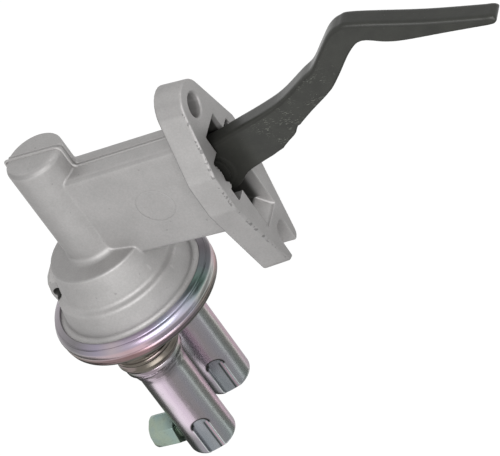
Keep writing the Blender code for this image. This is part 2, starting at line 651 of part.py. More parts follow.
def make_springs():
    seat_top = SEAT_UNDERSIDE_Z + 0.0011 + GAP
    roof = TOWER_TOP_Z - 0.0035 - GAP
    coil("arm_return_spring", TOWER_X, 0.0, seat_top, roof, TOWER_BORE - 0.0029, 0.0008, 6.5,
         "spring_steel")
    middle = (RETAINER_RADIUS + SHOULDER_RADIUS - 0.0020) / 2 + 0.0008
    coil("diaphragm_spring", TOWER_X, 0.0, PLATE_TOP_Z + GAP, DOME_ROOF_Z - GAP, middle, 0.0010,
         4.5, "spring_steel", steps_per_turn=13)


def make_seal():
    """A lip seal for the rod below the roof of the dome, with its pressed retainer."""
    top = DOME_ROOF_Z - GAP
    bore = ROD_RADIUS + GAP
    seal = [(bore, top), (0.0066, top), (0.0066, top - 0.0018), (0.0045, top - 0.0022),
            (0.0040, top - 0.0052), (bore + 0.0001, top - 0.0056), (bore, top - 0.0048)]
    dress(turned("rod_seal", seal, (TOWER_X, 0.0), segments=18), "rubber")
    cup = [(0.0069, top), (RETAINER_RADIUS, top), (RETAINER_RADIUS, top - 0.0030),
           (0.0055, top - 0.0033), (0.0055, top - 0.0025), (0.0069, top - 0.0023)]
    dress(turned("seal_retainer", cup, (TOWER_X, 0.0), segments=20), "spring_steel")


def make_diaphragm():
    """The diaphragm with its two plates; the centre rests a little above the clamped rim."""
    hole = ROD_RADIUS + GAP
    centre_top = PLATE_TOP_Z - PLATE_SHEET - GAP
    sheet = DIAPHRAGM_THICKNESS
    rim = DIAPHRAGM_RIM_Z
    edge = PLATE_RADIUS
    free = CLAMP_RADIUS - 0.0086 - edge
    upper = [(hole, centre_top), (edge + 0.064 * free, centre_top),
             (edge + 0.359 * free, centre_top + 0.0007), (edge + 0.590 * free, centre_top + 0.0002),
             (edge + 0.795 * free, rim + 0.0010), (edge + free, rim), (CLAMP_RADIUS, rim)]
    lower = [(CLAMP_RADIUS, rim - sheet), (edge + 0.949 * free, rim - sheet),
             (edge + 0.692 * free, rim), (edge + 0.513 * free, centre_top - 0.0008),
             (edge + 0.359 * free, centre_top - 0.0003), (edge + 0.090 * free, centre_top - sheet),
             (hole, centre_top - sheet)]
    dress(turned("diaphragm", upper + lower, (TOWER_X, 0.0), segments=24), "rubber")
    top = PLATE_TOP_Z
    plate = [(hole, top), (edge - 0.0088, top), (edge - 0.0082, top - 0.0002),
             (edge - 0.0020, top - 0.0002), (edge - 0.0014, top + 0.0012),
             (edge - 0.0004, top + 0.0012), (edge, top - 0.0006), (edge - 0.0002, top - PLATE_SHEET),
             (hole, top - PLATE_SHEET)]
    dress(turned("upper_plate", plate, (TOWER_X, 0.0), segments=28), "spring_steel")
    low = centre_top - sheet - GAP
    under = [(hole, low), (edge - 0.0004, low), (edge + 0.0006, low - 0.0004),
             (edge + 0.0012, low - 0.0016), (edge + 0.0004, low - 0.0018),
             (edge - 0.0004, low - PLATE_SHEET), (hole, low - PLATE_SHEET)]
    dress(turned("lower_plate", under, (TOWER_X, 0.0), segments=28), "spring_steel")


def make_valve(side, y, seat_top, opens):
    """A check valve: a ported seat, a disc that lifts off it, a spring and a stem with a cap."""
    sheet = 0.002
    bore = NECK_TUBE_RADIUS - COVER_SHEET - GAP
    seat = turned(side + "_valve_seat", [(0.0013, seat_top), (bore, seat_top),
                                         (bore, seat_top - sheet), (0.0013, seat_top - sheet)],
                  (CAN_X, y), segments=24)
    for i in range(5):
        angle = math.tau * i / 5
        port = (CAN_X + 0.0048 * math.cos(angle), y + 0.0048 * math.sin(angle), seat_top + 0.001)
        cut(seat, cylinder("port", port, (0, 0, -1), 0.0015, 0.004, segments=6))
    dress(seat, "spring_steel")
    face = seat_top + GAP if opens > 0 else seat_top - sheet - GAP
    back = face + opens * 0.0009
    disc = turned(side + "_valve_disc", [(0.0013, face), (0.0076, face), (0.0076, back),
                                         (0.0013, back)], (CAN_X, y), segments=20)
    dress(disc, "phenolic")
    cap = back + opens * 0.0034
    spring_low, spring_high = sorted((back + opens * GAP, cap - opens * GAP))
    radii = (0.0052, 0.0030) if opens > 0 else (0.0030, 0.0052)
    coil(side + "_valve_spring", CAN_X, y, spring_low, spring_high, radii[0], 0.0003, 2.5,
         "spring_steel", steps_per_turn=9, top_radius=radii[1])
    foot = seat_top - sheet - GAP if opens > 0 else seat_top + GAP
    stem = [(0.0, foot - opens * 0.0008), (0.0022, foot - opens * 0.0008), (0.0022, foot),
            (0.0010, foot), (0.0010, cap), (0.0042, cap), (0.0042, cap + opens * 0.0007),
            (0.0, cap + opens * 0.0007)]
    if opens > 0:
        stem.reverse()
    dress(turned(side + "_valve_stem", stem, (CAN_X, y), segments=16, closed=False),
          "spring_steel")


def main():
    clear_scene()
    make_body()
    make_ring()
    make_cover()
    make_can("outlet_can", OUTLET_Y)
    make_can("inlet_can", INLET_Y)
    make_fitting("outlet_fitting", OUTLET_Y)
    make_fitting("inlet_fitting", INLET_Y)
    make_rocker()
    make_pivot()
    make_rod()
    make_seat()
    make_springs()
    make_seal()
    make_diaphragm()
    make_valve("outlet", OUTLET_Y, NECK_TUBE_END_Z + 0.0093, -1)
    make_valve("inlet", INLET_Y, NECK_TUBE_END_Z + 0.0058, 1)


main()
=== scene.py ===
"""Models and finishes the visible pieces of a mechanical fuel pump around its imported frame.

Pieces are modelled in millimetres and brought to metres when they are settled on their body.
"""

import math

import bmesh
import bpy
from mathutils import Matrix, Vector


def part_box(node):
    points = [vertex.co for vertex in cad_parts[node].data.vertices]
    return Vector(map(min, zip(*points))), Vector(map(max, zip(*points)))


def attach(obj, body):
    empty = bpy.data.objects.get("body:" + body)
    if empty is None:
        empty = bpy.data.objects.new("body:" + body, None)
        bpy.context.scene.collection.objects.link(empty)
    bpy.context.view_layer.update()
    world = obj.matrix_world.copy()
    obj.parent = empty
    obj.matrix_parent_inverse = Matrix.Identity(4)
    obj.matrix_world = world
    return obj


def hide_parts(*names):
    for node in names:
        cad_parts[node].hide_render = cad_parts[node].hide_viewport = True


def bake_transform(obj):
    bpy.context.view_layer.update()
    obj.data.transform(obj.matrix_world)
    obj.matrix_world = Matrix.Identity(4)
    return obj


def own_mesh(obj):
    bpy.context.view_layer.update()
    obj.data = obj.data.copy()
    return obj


bl_info = {
    "name": "Fuel Pump Dressing",
    "version": (1, 1, 0),
    "blender": (4, 5, 0),
    "location": "View3D > Sidebar > Pump",
    "description": "Models and finishes the visible pieces of a mechanical fuel pump",
    "category": "Object",
}

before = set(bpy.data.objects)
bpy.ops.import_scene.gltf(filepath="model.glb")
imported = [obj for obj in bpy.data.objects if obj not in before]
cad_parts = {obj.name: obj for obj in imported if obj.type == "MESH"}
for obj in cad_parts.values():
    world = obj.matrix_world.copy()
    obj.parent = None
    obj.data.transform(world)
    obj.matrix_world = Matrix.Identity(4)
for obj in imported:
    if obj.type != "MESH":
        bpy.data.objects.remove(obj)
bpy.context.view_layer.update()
MM = 0.001


def reach(node):
    """The lowest and highest corner of a frame node, in millimetres."""
    low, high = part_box(node)
    return Vector(low) / MM, Vector(high) / MM


# Places on the pump, in millimetres, as the frame has them
RING_LOW, RING_HIGH = reach("crimp_ring")
TOWER = ((RING_LOW.x + RING_HIGH.x) / 2, 0.0)
CLAMP_TOP = RING_HIGH.z - 1.35
CAN_LOW, CAN_HIGH = reach("outlet_can")
CAN = ((CAN_LOW.x + CAN_HIGH.x) / 2, (CAN_LOW.y + CAN_HIGH.y) / 2)
FAR_SHIFT = (0.0, -2 * CAN[1], 0.0)
RECESS_TURN = math.radians(23.5)
FITTING_LOW, FITTING_HIGH = reach("outlet_fitting")
FITTING_Z = (FITTING_LOW.z + FITTING_HIGH.z) / 2
PIN_LOW, PIN_HIGH = reach("pivot_pin")
PIVOT = (PIN_LOW + PIN_HIGH) / 2
BOLT_HOLE_Z = 37.5
RECESS_ARCH_Z = -109.4
VENT = Vector((-104.1, -9.5, -31.9))
VENT_AIM = Vector((0.5, 0.86, 0))


class PumpSettings(bpy.types.PropertyGroup):
    """Sizes and colours of the pump that a user would change."""

    voxel: bpy.props.FloatProperty(
        name="Casting grain", description="Size of the cells that blend the casting's corners",
        default=0.00040, min=0.0003, max=0.002, precision=5, unit="LENGTH")
    turn_steps: bpy.props.IntProperty(
        name="Turning steps", description="Faces around each turned piece",
        default=144, min=24, max=360)
    edge_radius: bpy.props.FloatProperty(
        name="Arm edge radius", description="Rounding of the forged arm's upper edges",
        default=0.0019, min=0.0002, max=0.0025, precision=4, unit="LENGTH")
    cast_colour: bpy.props.FloatVectorProperty(
        name="Casting colour", description="Base colour of the blasted aluminium",
        default=(0.455, 0.445, 0.44), size=3, min=0.0, max=1.0, subtype="COLOR")
    forging_colour: bpy.props.FloatVectorProperty(
        name="Forging colour", description="Base colour of the phosphated arm",
        default=(0.025, 0.026, 0.021), size=3, min=0.0, max=1.0, subtype="COLOR")
    key_power: bpy.props.FloatProperty(
        name="Key light", description="Power of the large soft light in front of the pump",
        default=11.4, min=0.0, max=100.0, subtype="POWER")
    floor_colour: bpy.props.FloatVectorProperty(
        name="Floor colour", description="Colour of the plain floor",
        default=(0.62, 0.62, 0.62), size=3, min=0.0, max=1.0, subtype="COLOR")


# Drawing and shaping in edit mode

def alone(obj=None):
    """Leaves only the given object selected and active."""
    if bpy.context.mode != "OBJECT":
        bpy.ops.object.mode_set(mode="OBJECT")
    bpy.ops.object.select_all(action="DESELECT")
    if obj is not None:
        obj.select_set(True)
        bpy.context.view_layer.objects.active = obj


def edit(obj):
    """Opens an object in edit mode with everything selected."""
    alone(obj)
    bpy.ops.object.mode_set(mode="EDIT")
    bpy.ops.mesh.select_mode(type="VERT")
    bpy.ops.mesh.select_all(action="SELECT")


def pick(test, kind="FACE"):
    """Selects the faces, edges or corners whose middle and normal pass the test."""
    mesh = bpy.context.edit_object.data
    bpy.ops.mesh.select_mode(type=kind)
    bpy.ops.mesh.select_all(action="DESELECT")
    shape = bmesh.from_edit_mesh(mesh)
    for face in shape.faces if kind == "FACE" else ():
        face.select_set(test(face.calc_center_median(), face.normal))
    for edge in shape.edges if kind == "EDGE" else ():
        edge.select_set(test((edge.verts[0].co + edge.verts[1].co) / 2, edge))
    for vert in shape.verts if kind == "VERT" else ():
        vert.select_set(test(vert.co, vert.normal))
    shape.select_flush_mode()
    bmesh.update_edit_mesh(mesh)


def draw(name, points, close=False, fill=True):
    """Draws a line of edges by extruding one corner from point to point."""
    alone()
    bpy.ops.mesh.primitive_plane_add(size=0.1, location=points[0])
    obj = bpy.context.active_object
    obj.name = name
    bpy.ops.object.transform_apply(location=True, rotation=True, scale=True)
    edit(obj)
    bpy.ops.mesh.merge(type="CENTER")
    path = list(points) + ([points[0]] if close else [])
    for here, there in zip(path, path[1:]):
        step = Vector(there) - Vector(here)
        bpy.ops.mesh.extrude_vertices_move(TRANSFORM_OT_translate={"value": step})
    bpy.ops.mesh.select_all(action="SELECT")
    if close:
        bpy.ops.mesh.remove_doubles(threshold=0.001)
        if fill:
            bpy.ops.mesh.edge_face_add()
    return obj


def block(name, outline, depth):
    """Fills a drawn outline and extrudes it to a closed block, which stays in edit mode."""
    obj = draw(name, outline, close=True)
    bpy.ops.mesh.extrude_region_move(TRANSFORM_OT_translate={"value": depth})
    return obj


def close_up(obj):
    """Merges doubled points, turns the faces outwards and leaves edit mode."""
    edit(obj)
    bpy.ops.mesh.remove_doubles(threshold=0.0005)
    bpy.ops.mesh.normals_make_consistent(inside=False)
    alone(obj)
    return obj


def loft(name, sections):
    """Bridges a row of drawn outlines and fills both ends."""
    loops = [draw(name, points, close=True, fill=False) for points in sections]
    alone(loops[0])
    for loop in loops:
        loop.select_set(True)
    bpy.ops.object.join()
    edit(loops[0])
    bpy.ops.mesh.select_mode(type="EDGE")
    bpy.ops.mesh.bridge_edge_loops()
    bpy.ops.mesh.select_all(action="SELECT")
    bpy.ops.mesh.fill_holes(sides=0)
    return close_up(loops[0])


def turn(name, profile, axis=TOWER, steps=None):
    """Spins a profile of (radius, height) about an upright axis."""
    steps = steps or bpy.context.scene.pump.turn_steps
    obj = draw(name, [(axis[0] + radius, axis[1], height) for radius, height in profile])
    bpy.ops.mesh.spin(steps=steps, angle=math.tau, center=(axis[0], axis[1], 0.0),
                      axis=(0.0, 0.0, 1.0))
    return close_up(obj)


def half(obj, side, start=0.0):
    """Keeps the near (-1) or far (1) side of a piece from a start and closes the cut."""
    edit(obj)
    bpy.ops.mesh.bisect(plane_co=(0, start, 0), plane_no=(0, -side, 0), use_fill=True,
                        clear_outer=True)
    return close_up(obj)


def tube(name, centre, direction, radius, length, vertices=48, radius_end=None):
    """A cylinder or cone that starts at a point and runs along a direction."""
    alone()
    along = Vector(direction).normalized()
    bpy.ops.mesh.primitive_cone_add(
        vertices=vertices, radius1=radius, radius2=radius if radius_end is None else radius_end,
        depth=length, location=Vector(centre) + along * length / 2,
        rotation=along.to_track_quat("Z", "Y").to_euler())
    obj = bpy.context.active_object
    obj.name = name
    bpy.ops.object.transform_apply(location=True, rotation=True, scale=True)
    return obj


def rib(name, points, radius):
    """A round bar along drawn points."""
    obj = draw(name, points)
    alone(obj)
    bpy.ops.object.convert(target="CURVE")
    obj = bpy.context.active_object
    obj.data.bevel_depth = radius
    obj.data.bevel_resolution = 3
    obj.data.use_fill_caps = True
    bpy.ops.object.convert(target="MESH")
    return close_up(bpy.context.active_object)


def modify(obj, kind, **settings):
    """Adds a modifier and applies it at once."""
    alone(obj)
    modifier = obj.modifiers.new(kind.lower(), kind)
    for key, value in settings.items():
        setattr(modifier, key, value)
    bpy.ops.object.modifier_apply(modifier=modifier.name)


def combine(obj, tool, operation="DIFFERENCE"):
    """Cuts a tool away from a piece, or joins it on, and deletes the tool."""
    alone()
    modify(obj, "BOOLEAN", operation=operation, object=tool, solver="EXACT")
    bpy.data.objects.remove(tool, do_unlink=True)


def soften(obj, cell, rounds, most):
    """Blends a piece's corners as a mould leaves them, and thins its mesh to a number of faces."""
    modify(obj, "REMESH", mode="VOXEL", voxel_size=cell, use_smooth_shade=True)
    modify(obj, "SMOOTH", factor=0.5, iterations=rounds)
    triangles = sum(len(face.vertices) - 2 for face in obj.data.polygons)
    modify(obj, "DECIMATE", ratio=min(1.0, most / triangles))


def settle(obj, body, material, node=None, sharp=35.0):
    """Brings a piece to metres, shades it, gives it its finish and lets it ride on its body."""
    alone(obj)
    obj.scale = (MM, MM, MM)
    bpy.ops.object.transform_apply(location=True, rotation=True, scale=True)
    if sharp is None:
        bpy.ops.object.shade_smooth()
    else:
        bpy.ops.object.shade_smooth_by_angle(angle=math.radians(sharp))
    obj.data.materials.clear()
    obj.data.materials.append(material)
    if body:
        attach(obj, body)
    if node:
        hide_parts(node)
    return obj


def twin(obj, name, shift):
    """Copies a piece that is still in millimetres, with its own mesh, to another place."""
    alone(obj)
    bpy.ops.object.duplicate()
    copy = bpy.context.active_object
    copy.name = name
    edit(copy)
    bpy.ops.transform.translate(value=shift)
    alone(copy)
    return copy


def arc(centre, radius, start, end, steps):
    """Points on an arc in a plane, with angles in degrees."""
    angles = [math.radians(start + (end - start) * i / steps) for i in range(steps + 1)]
    return [(centre[0] + radius * math.cos(a), centre[1] + radius * math.sin(a)) for a in angles]


def rounded(corners, steps=5):
    """Points of an outline or path whose corners, (across, up, radius), are rounded off."""
    points = []
    for i, (across, up, radius) in enumerate(corners):
        here = Vector((across, up))
        if radius == 0:
            points.append((across, up))
            continue
        back = (Vector(corners[i - 1][:2]) - here).normalized()
        onward = (Vector(corners[(i + 1) % len(corners)][:2]) - here).normalized()
        cut = radius / math.tan(back.angle(onward) / 2)
        for k in range(steps + 1):
            t = k / steps
            points.append(tuple(here + back * cut * (1 - t) ** 2 + onward * cut * t ** 2))
    return points


def through(points, steps):
    """Points along a smooth curve that passes through the given points."""
    padded = [points[0], *points, points[-1]]
    curve = []
    for p, q, r, s in zip(padded, padded[1:], padded[2:], padded[3:]):
        for k in range(steps):
            t = k / steps
            curve.append(tuple(
                0.5 * (2 * b + (c - a) * t + (2 * a - 5 * b + 4 * c - d) * t ** 2
                       + (3 * b - a - 3 * c + d) * t ** 3)
                for a, b, c, d in zip(p, q, r, s)))
    return curve + [tuple(points[-1])]


def across_x(outline, x):
    return [(x, y, z) for y, z in outline]


def across_y(outline, y):
    return [(x, y, z) for x, z in outline]


# Shader building

def both_ways(operation):
    """A method of Value that adds a Math node, and its reflected form."""
    return (lambda value, other: value.maths(operation, value, other),
            lambda value, other: value.maths(operation, other, value))


class Value:
    """A shader socket that takes part in Python arithmetic."""

    __add__, __radd__ = both_ways("ADD")
    __sub__, __rsub__ = both_ways("SUBTRACT")
    __mul__, __rmul__ = both_ways("MULTIPLY")

    def __init__(self, owner, socket):
        self.owner = owner
        self.socket = socket

    def maths(self, operation, *values):
        return self.owner.node("ShaderNodeMath", {"operation": operation}, *values)

    def __pow__(self, other):
        return self.maths("POWER", self, other)

    def __abs__(self):
        return self.maths("ABSOLUTE", self)

    def above(self, low, high):
        """0 below low, 1 above high and smooth between."""
        return self.owner.node("ShaderNodeMapRange", {"interpolation_type": "SMOOTHSTEP"},
                               self, low, high, 0.0, 1.0)

    def within(self, low, high, soft=0.0002):
        """1 between low and high, and 0 outside them."""
        return self.above(low - soft, low + soft) * (1.0 - self.above(high - soft, high + soft))


class Nodes:
    """A node tree, whose nodes are added by its methods."""

    def __init__(self, tree):
        self.tree = tree

    def plug(self, socket, value):
        if isinstance(value, Value):
            self.tree.links.new(value.socket, socket)
        elif isinstance(value, tuple) and len(value) == 3 and len(socket.default_value) == 4:
            socket.default_value = (*value, 1.0)
        else:
            socket.default_value = value

    def node(self, kind, settings, *values, output=0, slots=None):
        """Adds a node with its settings, and fills its sockets in order or by the given slots."""
        made = self.tree.nodes.new(kind)
        for key, value in settings.items():
            setattr(made, key, value)
        for slot, value in zip(slots or range(len(values)), values):
            self.plug(made.inputs[slot], value)
        return Value(self, made.outputs[output])

    def seen(self):
        """1 where the camera, metal or glass looks at this, and 0 for the light that it gives."""
        rays = self.tree.nodes.new("ShaderNodeLightPath")
        camera, glossy, passed = (Value(self, rays.outputs[name]) for name in (
            "Is Camera Ray", "Is Glossy Ray", "Is Transmission Ray"))
        return camera + glossy + passed


class Finish(Nodes):
    """One procedural material."""

    def __init__(self, name, **inputs):
        self.material = bpy.data.materials.new(name)
        self.material.use_nodes = True
        super().__init__(self.material.node_tree)
        self.shader = self.tree.nodes["Principled BSDF"]
        self.feed(**inputs)

    def feed(self, **inputs):
        """Sets or links the shader's sockets, named with _ for a space."""
        for name, value in inputs.items():
            self.plug(self.shader.inputs[name.replace("_", " ")], value)
        return self

    def show(self, surface):
        """Gives the material another surface than its own shader's."""
        self.plug(self.tree.nodes["Material Output"].inputs[0], surface)
        return self.material

    def place(self, location=(0, 0, 0), rotation=(0, 0, 0), scale=(1, 1, 1)):
        """Object coordinates, moved, turned and scaled."""
        where = self.node("ShaderNodeTexCoord", {}, output=3)
        return self.node("ShaderNodeMapping", {}, where, tuple(location), tuple(rotation),
                         tuple(scale))

    def parts(self, vector):
        """The three coordinates of a vector."""
        split = self.tree.nodes.new("ShaderNodeSeparateXYZ")
        self.tree.links.new(vector.socket, split.inputs[0])
        return [Value(self, out) for out in split.outputs]

    def around(self, x, y):
        """The share of a full turn about an upright axis, 0.5 at the near side."""
        return x.maths("ARCTAN2", x, -1.0 * y) * (0.5 / math.pi) + 0.5

    def noise(self, size, detail=3.0, roughness=0.55, where=None, stretch=(1, 1, 1)):
        """Cloudy noise with features of about the given size in metres."""
        where = where or self.place(scale=stretch)
        return self.node("ShaderNodeTexNoise", {}, where, 1.0 / size, detail, roughness,
                         slots=("Vector", "Scale", "Detail", "Roughness"))

    def mix(self, share, first, second, blend="MIX"):
        """Blends two colours."""
        return self.node("ShaderNodeMix", {"data_type": "RGBA", "blend_type": blend},
                         share, first, second, output=2, slots=(0, 6, 7))

    def layers(self, tint, *rows):
        """Lays colours over a tint in order, each a row of share, colour and any blend."""
        for share, *colour in rows:
            tint = self.mix(share, tint, *colour)
        return tint

    def ramp(self, value, stops):
        """A colour that runs through stops of (place, colour)."""
        made = self.tree.nodes.new("ShaderNodeValToRGB")
        band = made.color_ramp
        while len(band.elements) < len(stops):
            band.elements.new(1.0)
        for element, (place, colour) in zip(band.elements, stops):
            element.position = place
            element.color = (*colour, 1.0)
        self.tree.links.new(value.socket, made.inputs[0])
        return Value(self, made.outputs[0])

    def bump(self, height, distance, strength=1.0):
        """Turns a height of 0 to 1 into a normal; the distance is in metres."""
        normal = self.node("ShaderNodeBump", {}, strength, distance, height,
                           slots=("Strength", "Distance", "Height"))
        return self.feed(Normal=normal)


def finish_named(name):
    """The finish of that name, made the first time that it is asked for."""
    found = bpy.data.materials.get(name)
    return found or FINISHES[name]().material


def blasted_aluminium():
    """Blasted die casting: fine grain, flow marks and an ejector ring, with painted highlights on
    sharp edges and painted shade in crevices, fillets, holes and the window.
    """
    cast = Finish("blasted_aluminium")
    colour = Vector(bpy.context.scene.pump.cast_colour)
    clouds = cast.noise(0.013, 4.0)
    grain = cast.noise(0.0008, 2.0, 0.7)
    pits = cast.noise(0.0021, 1.0).above(0.75, 0.77)
    x, y, z = cast.parts(cast.place())
    facing = cast.parts(cast.node("ShaderNodeNewGeometry", {}, output="Normal"))
    near = 1.0 - y.above(-0.0092, -0.0088)
    reach_out = ((x + 0.0378) ** 2.0 + z ** 2.0) ** 0.5
    disc = (1.0 - reach_out.above(0.0082, 0.0086)) * near
    ring = (1.0 - abs(reach_out - 0.0084).above(0.0001, 0.0005)) * near
    tone = cast.mix(clouds.above(0.3, 0.7), tuple(colour * 0.95), tuple(colour * 1.05))
    tone = cast.mix(grain.above(0.30, 0.70), tone, (0.92, 0.92, 0.92), "MULTIPLY")
    # Painted highlight: sharp edges, found by pointiness, are lightened, less so along the
    # flange's front edge.
    edge = cast.node("ShaderNodeNewGeometry", {}, output="Pointiness").above(0.510, 0.560)
    front_edge = x.within(-0.0013, -0.0001, 0.0001) * (1.0 - y.above(-0.0090, -0.0086))
    tone = cast.mix(edge * (1.0 - front_edge * 0.7) * 0.35, tone, tuple(colour * 1.30))
    nicks = cast.noise(0.0016, 2.0, stretch=(0.6, 0.6, 1.0)).above(0.56, 0.60) * front_edge
    # Painted shade in crevices: dark lines at the flange's back edge and beside the parting bead,
    # and a faint one in the ejector ring, laid on with real casting pits and nicks.
    back_edge = x.within(-0.0128, -0.0121, 0.0001) * (1.0 - abs(facing[0]).above(0.5, 0.8)) * (
        abs(y).above(0.0094, 0.0097))
    parting = y.within(0.0011, 0.0021, 0.00015) * z.above(0.0215, 0.0225) * (
        1.0 - x.above(-0.0128, -0.0126))
    crevice_shade_and_marks = back_edge * 0.55 + parting * 0.40 + ring * 0.05 + pits * 0.25 + nicks * 0.55
    tone = cast.mix(crevice_shade_and_marks, tone, tuple(colour * 0.22))
    # Painted shade inside the window, lever room and pin pocket, stronger further in.
    room = y.within(-0.0074, 0.0074) * (
        x.within(-0.0125, -0.0004) * z.within(-0.0222, 0.0257)
        + x.within(-0.0600, -0.0125) * z.within(-0.0216, 0.0208))
    pocket = y.within(-0.0136, 0.0136) * x.within(-0.0125, -0.0008) * z.within(-0.0062, 0.0172)
    depth = (1.0 - x.above(-0.0085, -0.0010)) + (1.0 - x.above(-0.0040, -0.0004)) * (
        z.above(-0.007, 0.002))
    window_shade = (room + pocket).above(0.0, 1.0) * depth.above(0.0, 1.0)
    # Painted shade inside the bolt hole and the vent hole. Together with the window's painted
    # shade, it darkens the colour and takes the metal away.
    bolt = (1.0 - (y ** 2.0 + (z - BOLT_HOLE_Z * MM) ** 2.0).above(0.0000275, 0.0000300)) * (
        x.within(-0.0122, -0.0020, 0.0008)) * 0.45
    aim = VENT_AIM.normalized()
    across = (x - VENT.x * MM) * aim.y - (y - VENT.y * MM) * aim.x
    vent = (1.0 - (across ** 2.0 + (z - VENT.z * MM) ** 2.0).above(0.0000050, 0.0000056)) * (
        1.0 - y.above(-0.0010, 0.0010))
    # Painted shade on faces chosen by their normals: the near fillets below the bead and the
    # dome's upward shoulder.
    fillet_shade = facing[2].within(0.35, 0.85, 0.12) * (1.0 - facing[1].above(-0.50, -0.30)) * (
        z.above(0.012, 0.018))
    shoulder_shade = facing[2].above(0.40, 0.80) * z.within(-0.0210, -0.0150, 0.0008)
    tone = cast.mix(fillet_shade * 0.34 + shoulder_shade * 0.30, tone, tuple(colour * 0.35))
    dark = (window_shade + bolt + vent).above(0.0, 1.0)
    tone = cast.mix(dark * 0.95, tone, (0.016, 0.016, 0.013))
    cast.feed(Base_Color=tone, Roughness=0.50 + 0.12 * grain, Metallic=0.60 * (1.0 - dark))
    return cast.bump(grain * 0.32 + clouds * 1.0 + disc * 1.4 - ring * 1.2 - pits * 1.0,
                     0.00006, 0.8)


def zinc_plating():
    """Iridescent zinc plate of the ring and cover, whose tint and painted reflection bands run
    round the turned pieces.
    """
    plate = Finish("zinc_plating", Metallic=1.0)
    x, y, z = plate.parts(plate.place(location=(-TOWER[0] * MM, 0.0, 0.0)))
    drift = plate.noise(0.015, 3.0, 0.5)
    share = plate.around(x, y) + (drift - 0.5) * 0.035
    # The lip and wall tints by turn are partly the plate's iridescence and partly painted
    # reflection, with dark and bright bands at fixed turns.
    lip = plate.ramp(share, [
        (0.00, (0.20, 0.20, 0.19)), (0.25, (0.34, 0.31, 0.34)), (0.40, (0.19, 0.18, 0.19)),
        (0.47, (0.31, 0.28, 0.35)), (0.50, (0.42, 0.36, 0.39)), (0.53, (0.36, 0.31, 0.38)),
        (0.556, (0.34, 0.28, 0.36)), (0.583, (0.30, 0.26, 0.34)), (0.611, (0.31, 0.32, 0.39)),
        (0.639, (0.46, 0.44, 0.54)), (0.667, (0.37, 0.40, 0.46)), (0.694, (0.22, 0.28, 0.28)),
        (0.722, (0.15, 0.23, 0.20)), (0.75, (0.12, 0.13, 0.14)), (0.81, (0.10, 0.09, 0.10)),
        (0.90, (0.30, 0.28, 0.30)), (1.00, (0.20, 0.20, 0.19))])
    wall = plate.ramp(share, [
        (0.00, (0.50, 0.50, 0.47)), (0.40, (0.50, 0.48, 0.47)), (0.48, (0.50, 0.40, 0.43)),
        (0.528, (0.46, 0.33, 0.35)), (0.556, (0.60, 0.43, 0.49)), (0.583, (0.52, 0.44, 0.52)),
        (0.639, (0.48, 0.44, 0.51)), (0.667, (0.44, 0.44, 0.51)), (0.694, (0.48, 0.49, 0.46)),
        (0.75, (0.60, 0.62, 0.60)), (0.79, (0.80, 0.62, 0.66)), (0.90, (0.70, 0.66, 0.68)),
        (1.00, (0.50, 0.50, 0.47))])
    low = 1.0 - z.above(-0.0516, -0.0510)
    curl = (1.0 - z.above(-0.0540, -0.0532)) * z.above(-0.0553, -0.0550)
    cover = 1.0 - z.above(-0.0562, -0.0554)
    bands = plate.noise(0.0016, 1.0, stretch=(0.1, 0.1, 1.0)).above(0.54, 0.60) * cover
    stains = plate.noise(0.0030, 4.0).above(0.60, 0.75)
    tint = plate.layers(
        wall, (z.above(-0.0487, -0.0472), lip), (low, (0.46, 0.40, 0.38), "MULTIPLY"),
        (curl * 0.85, (0.09, 0.10, 0.08)), (cover * 0.92, (0.13, 0.12, 0.10)),
        (bands * 0.5, (0.34, 0.27, 0.27)), (stains * 0.18, (0.22, 0.21, 0.22)))
    plate.feed(Base_Color=tint, Roughness=0.24 + 0.10 * drift + 0.12 * stains)
    return plate.bump(plate.noise(0.0012, 2.0), 0.000006, 0.5)


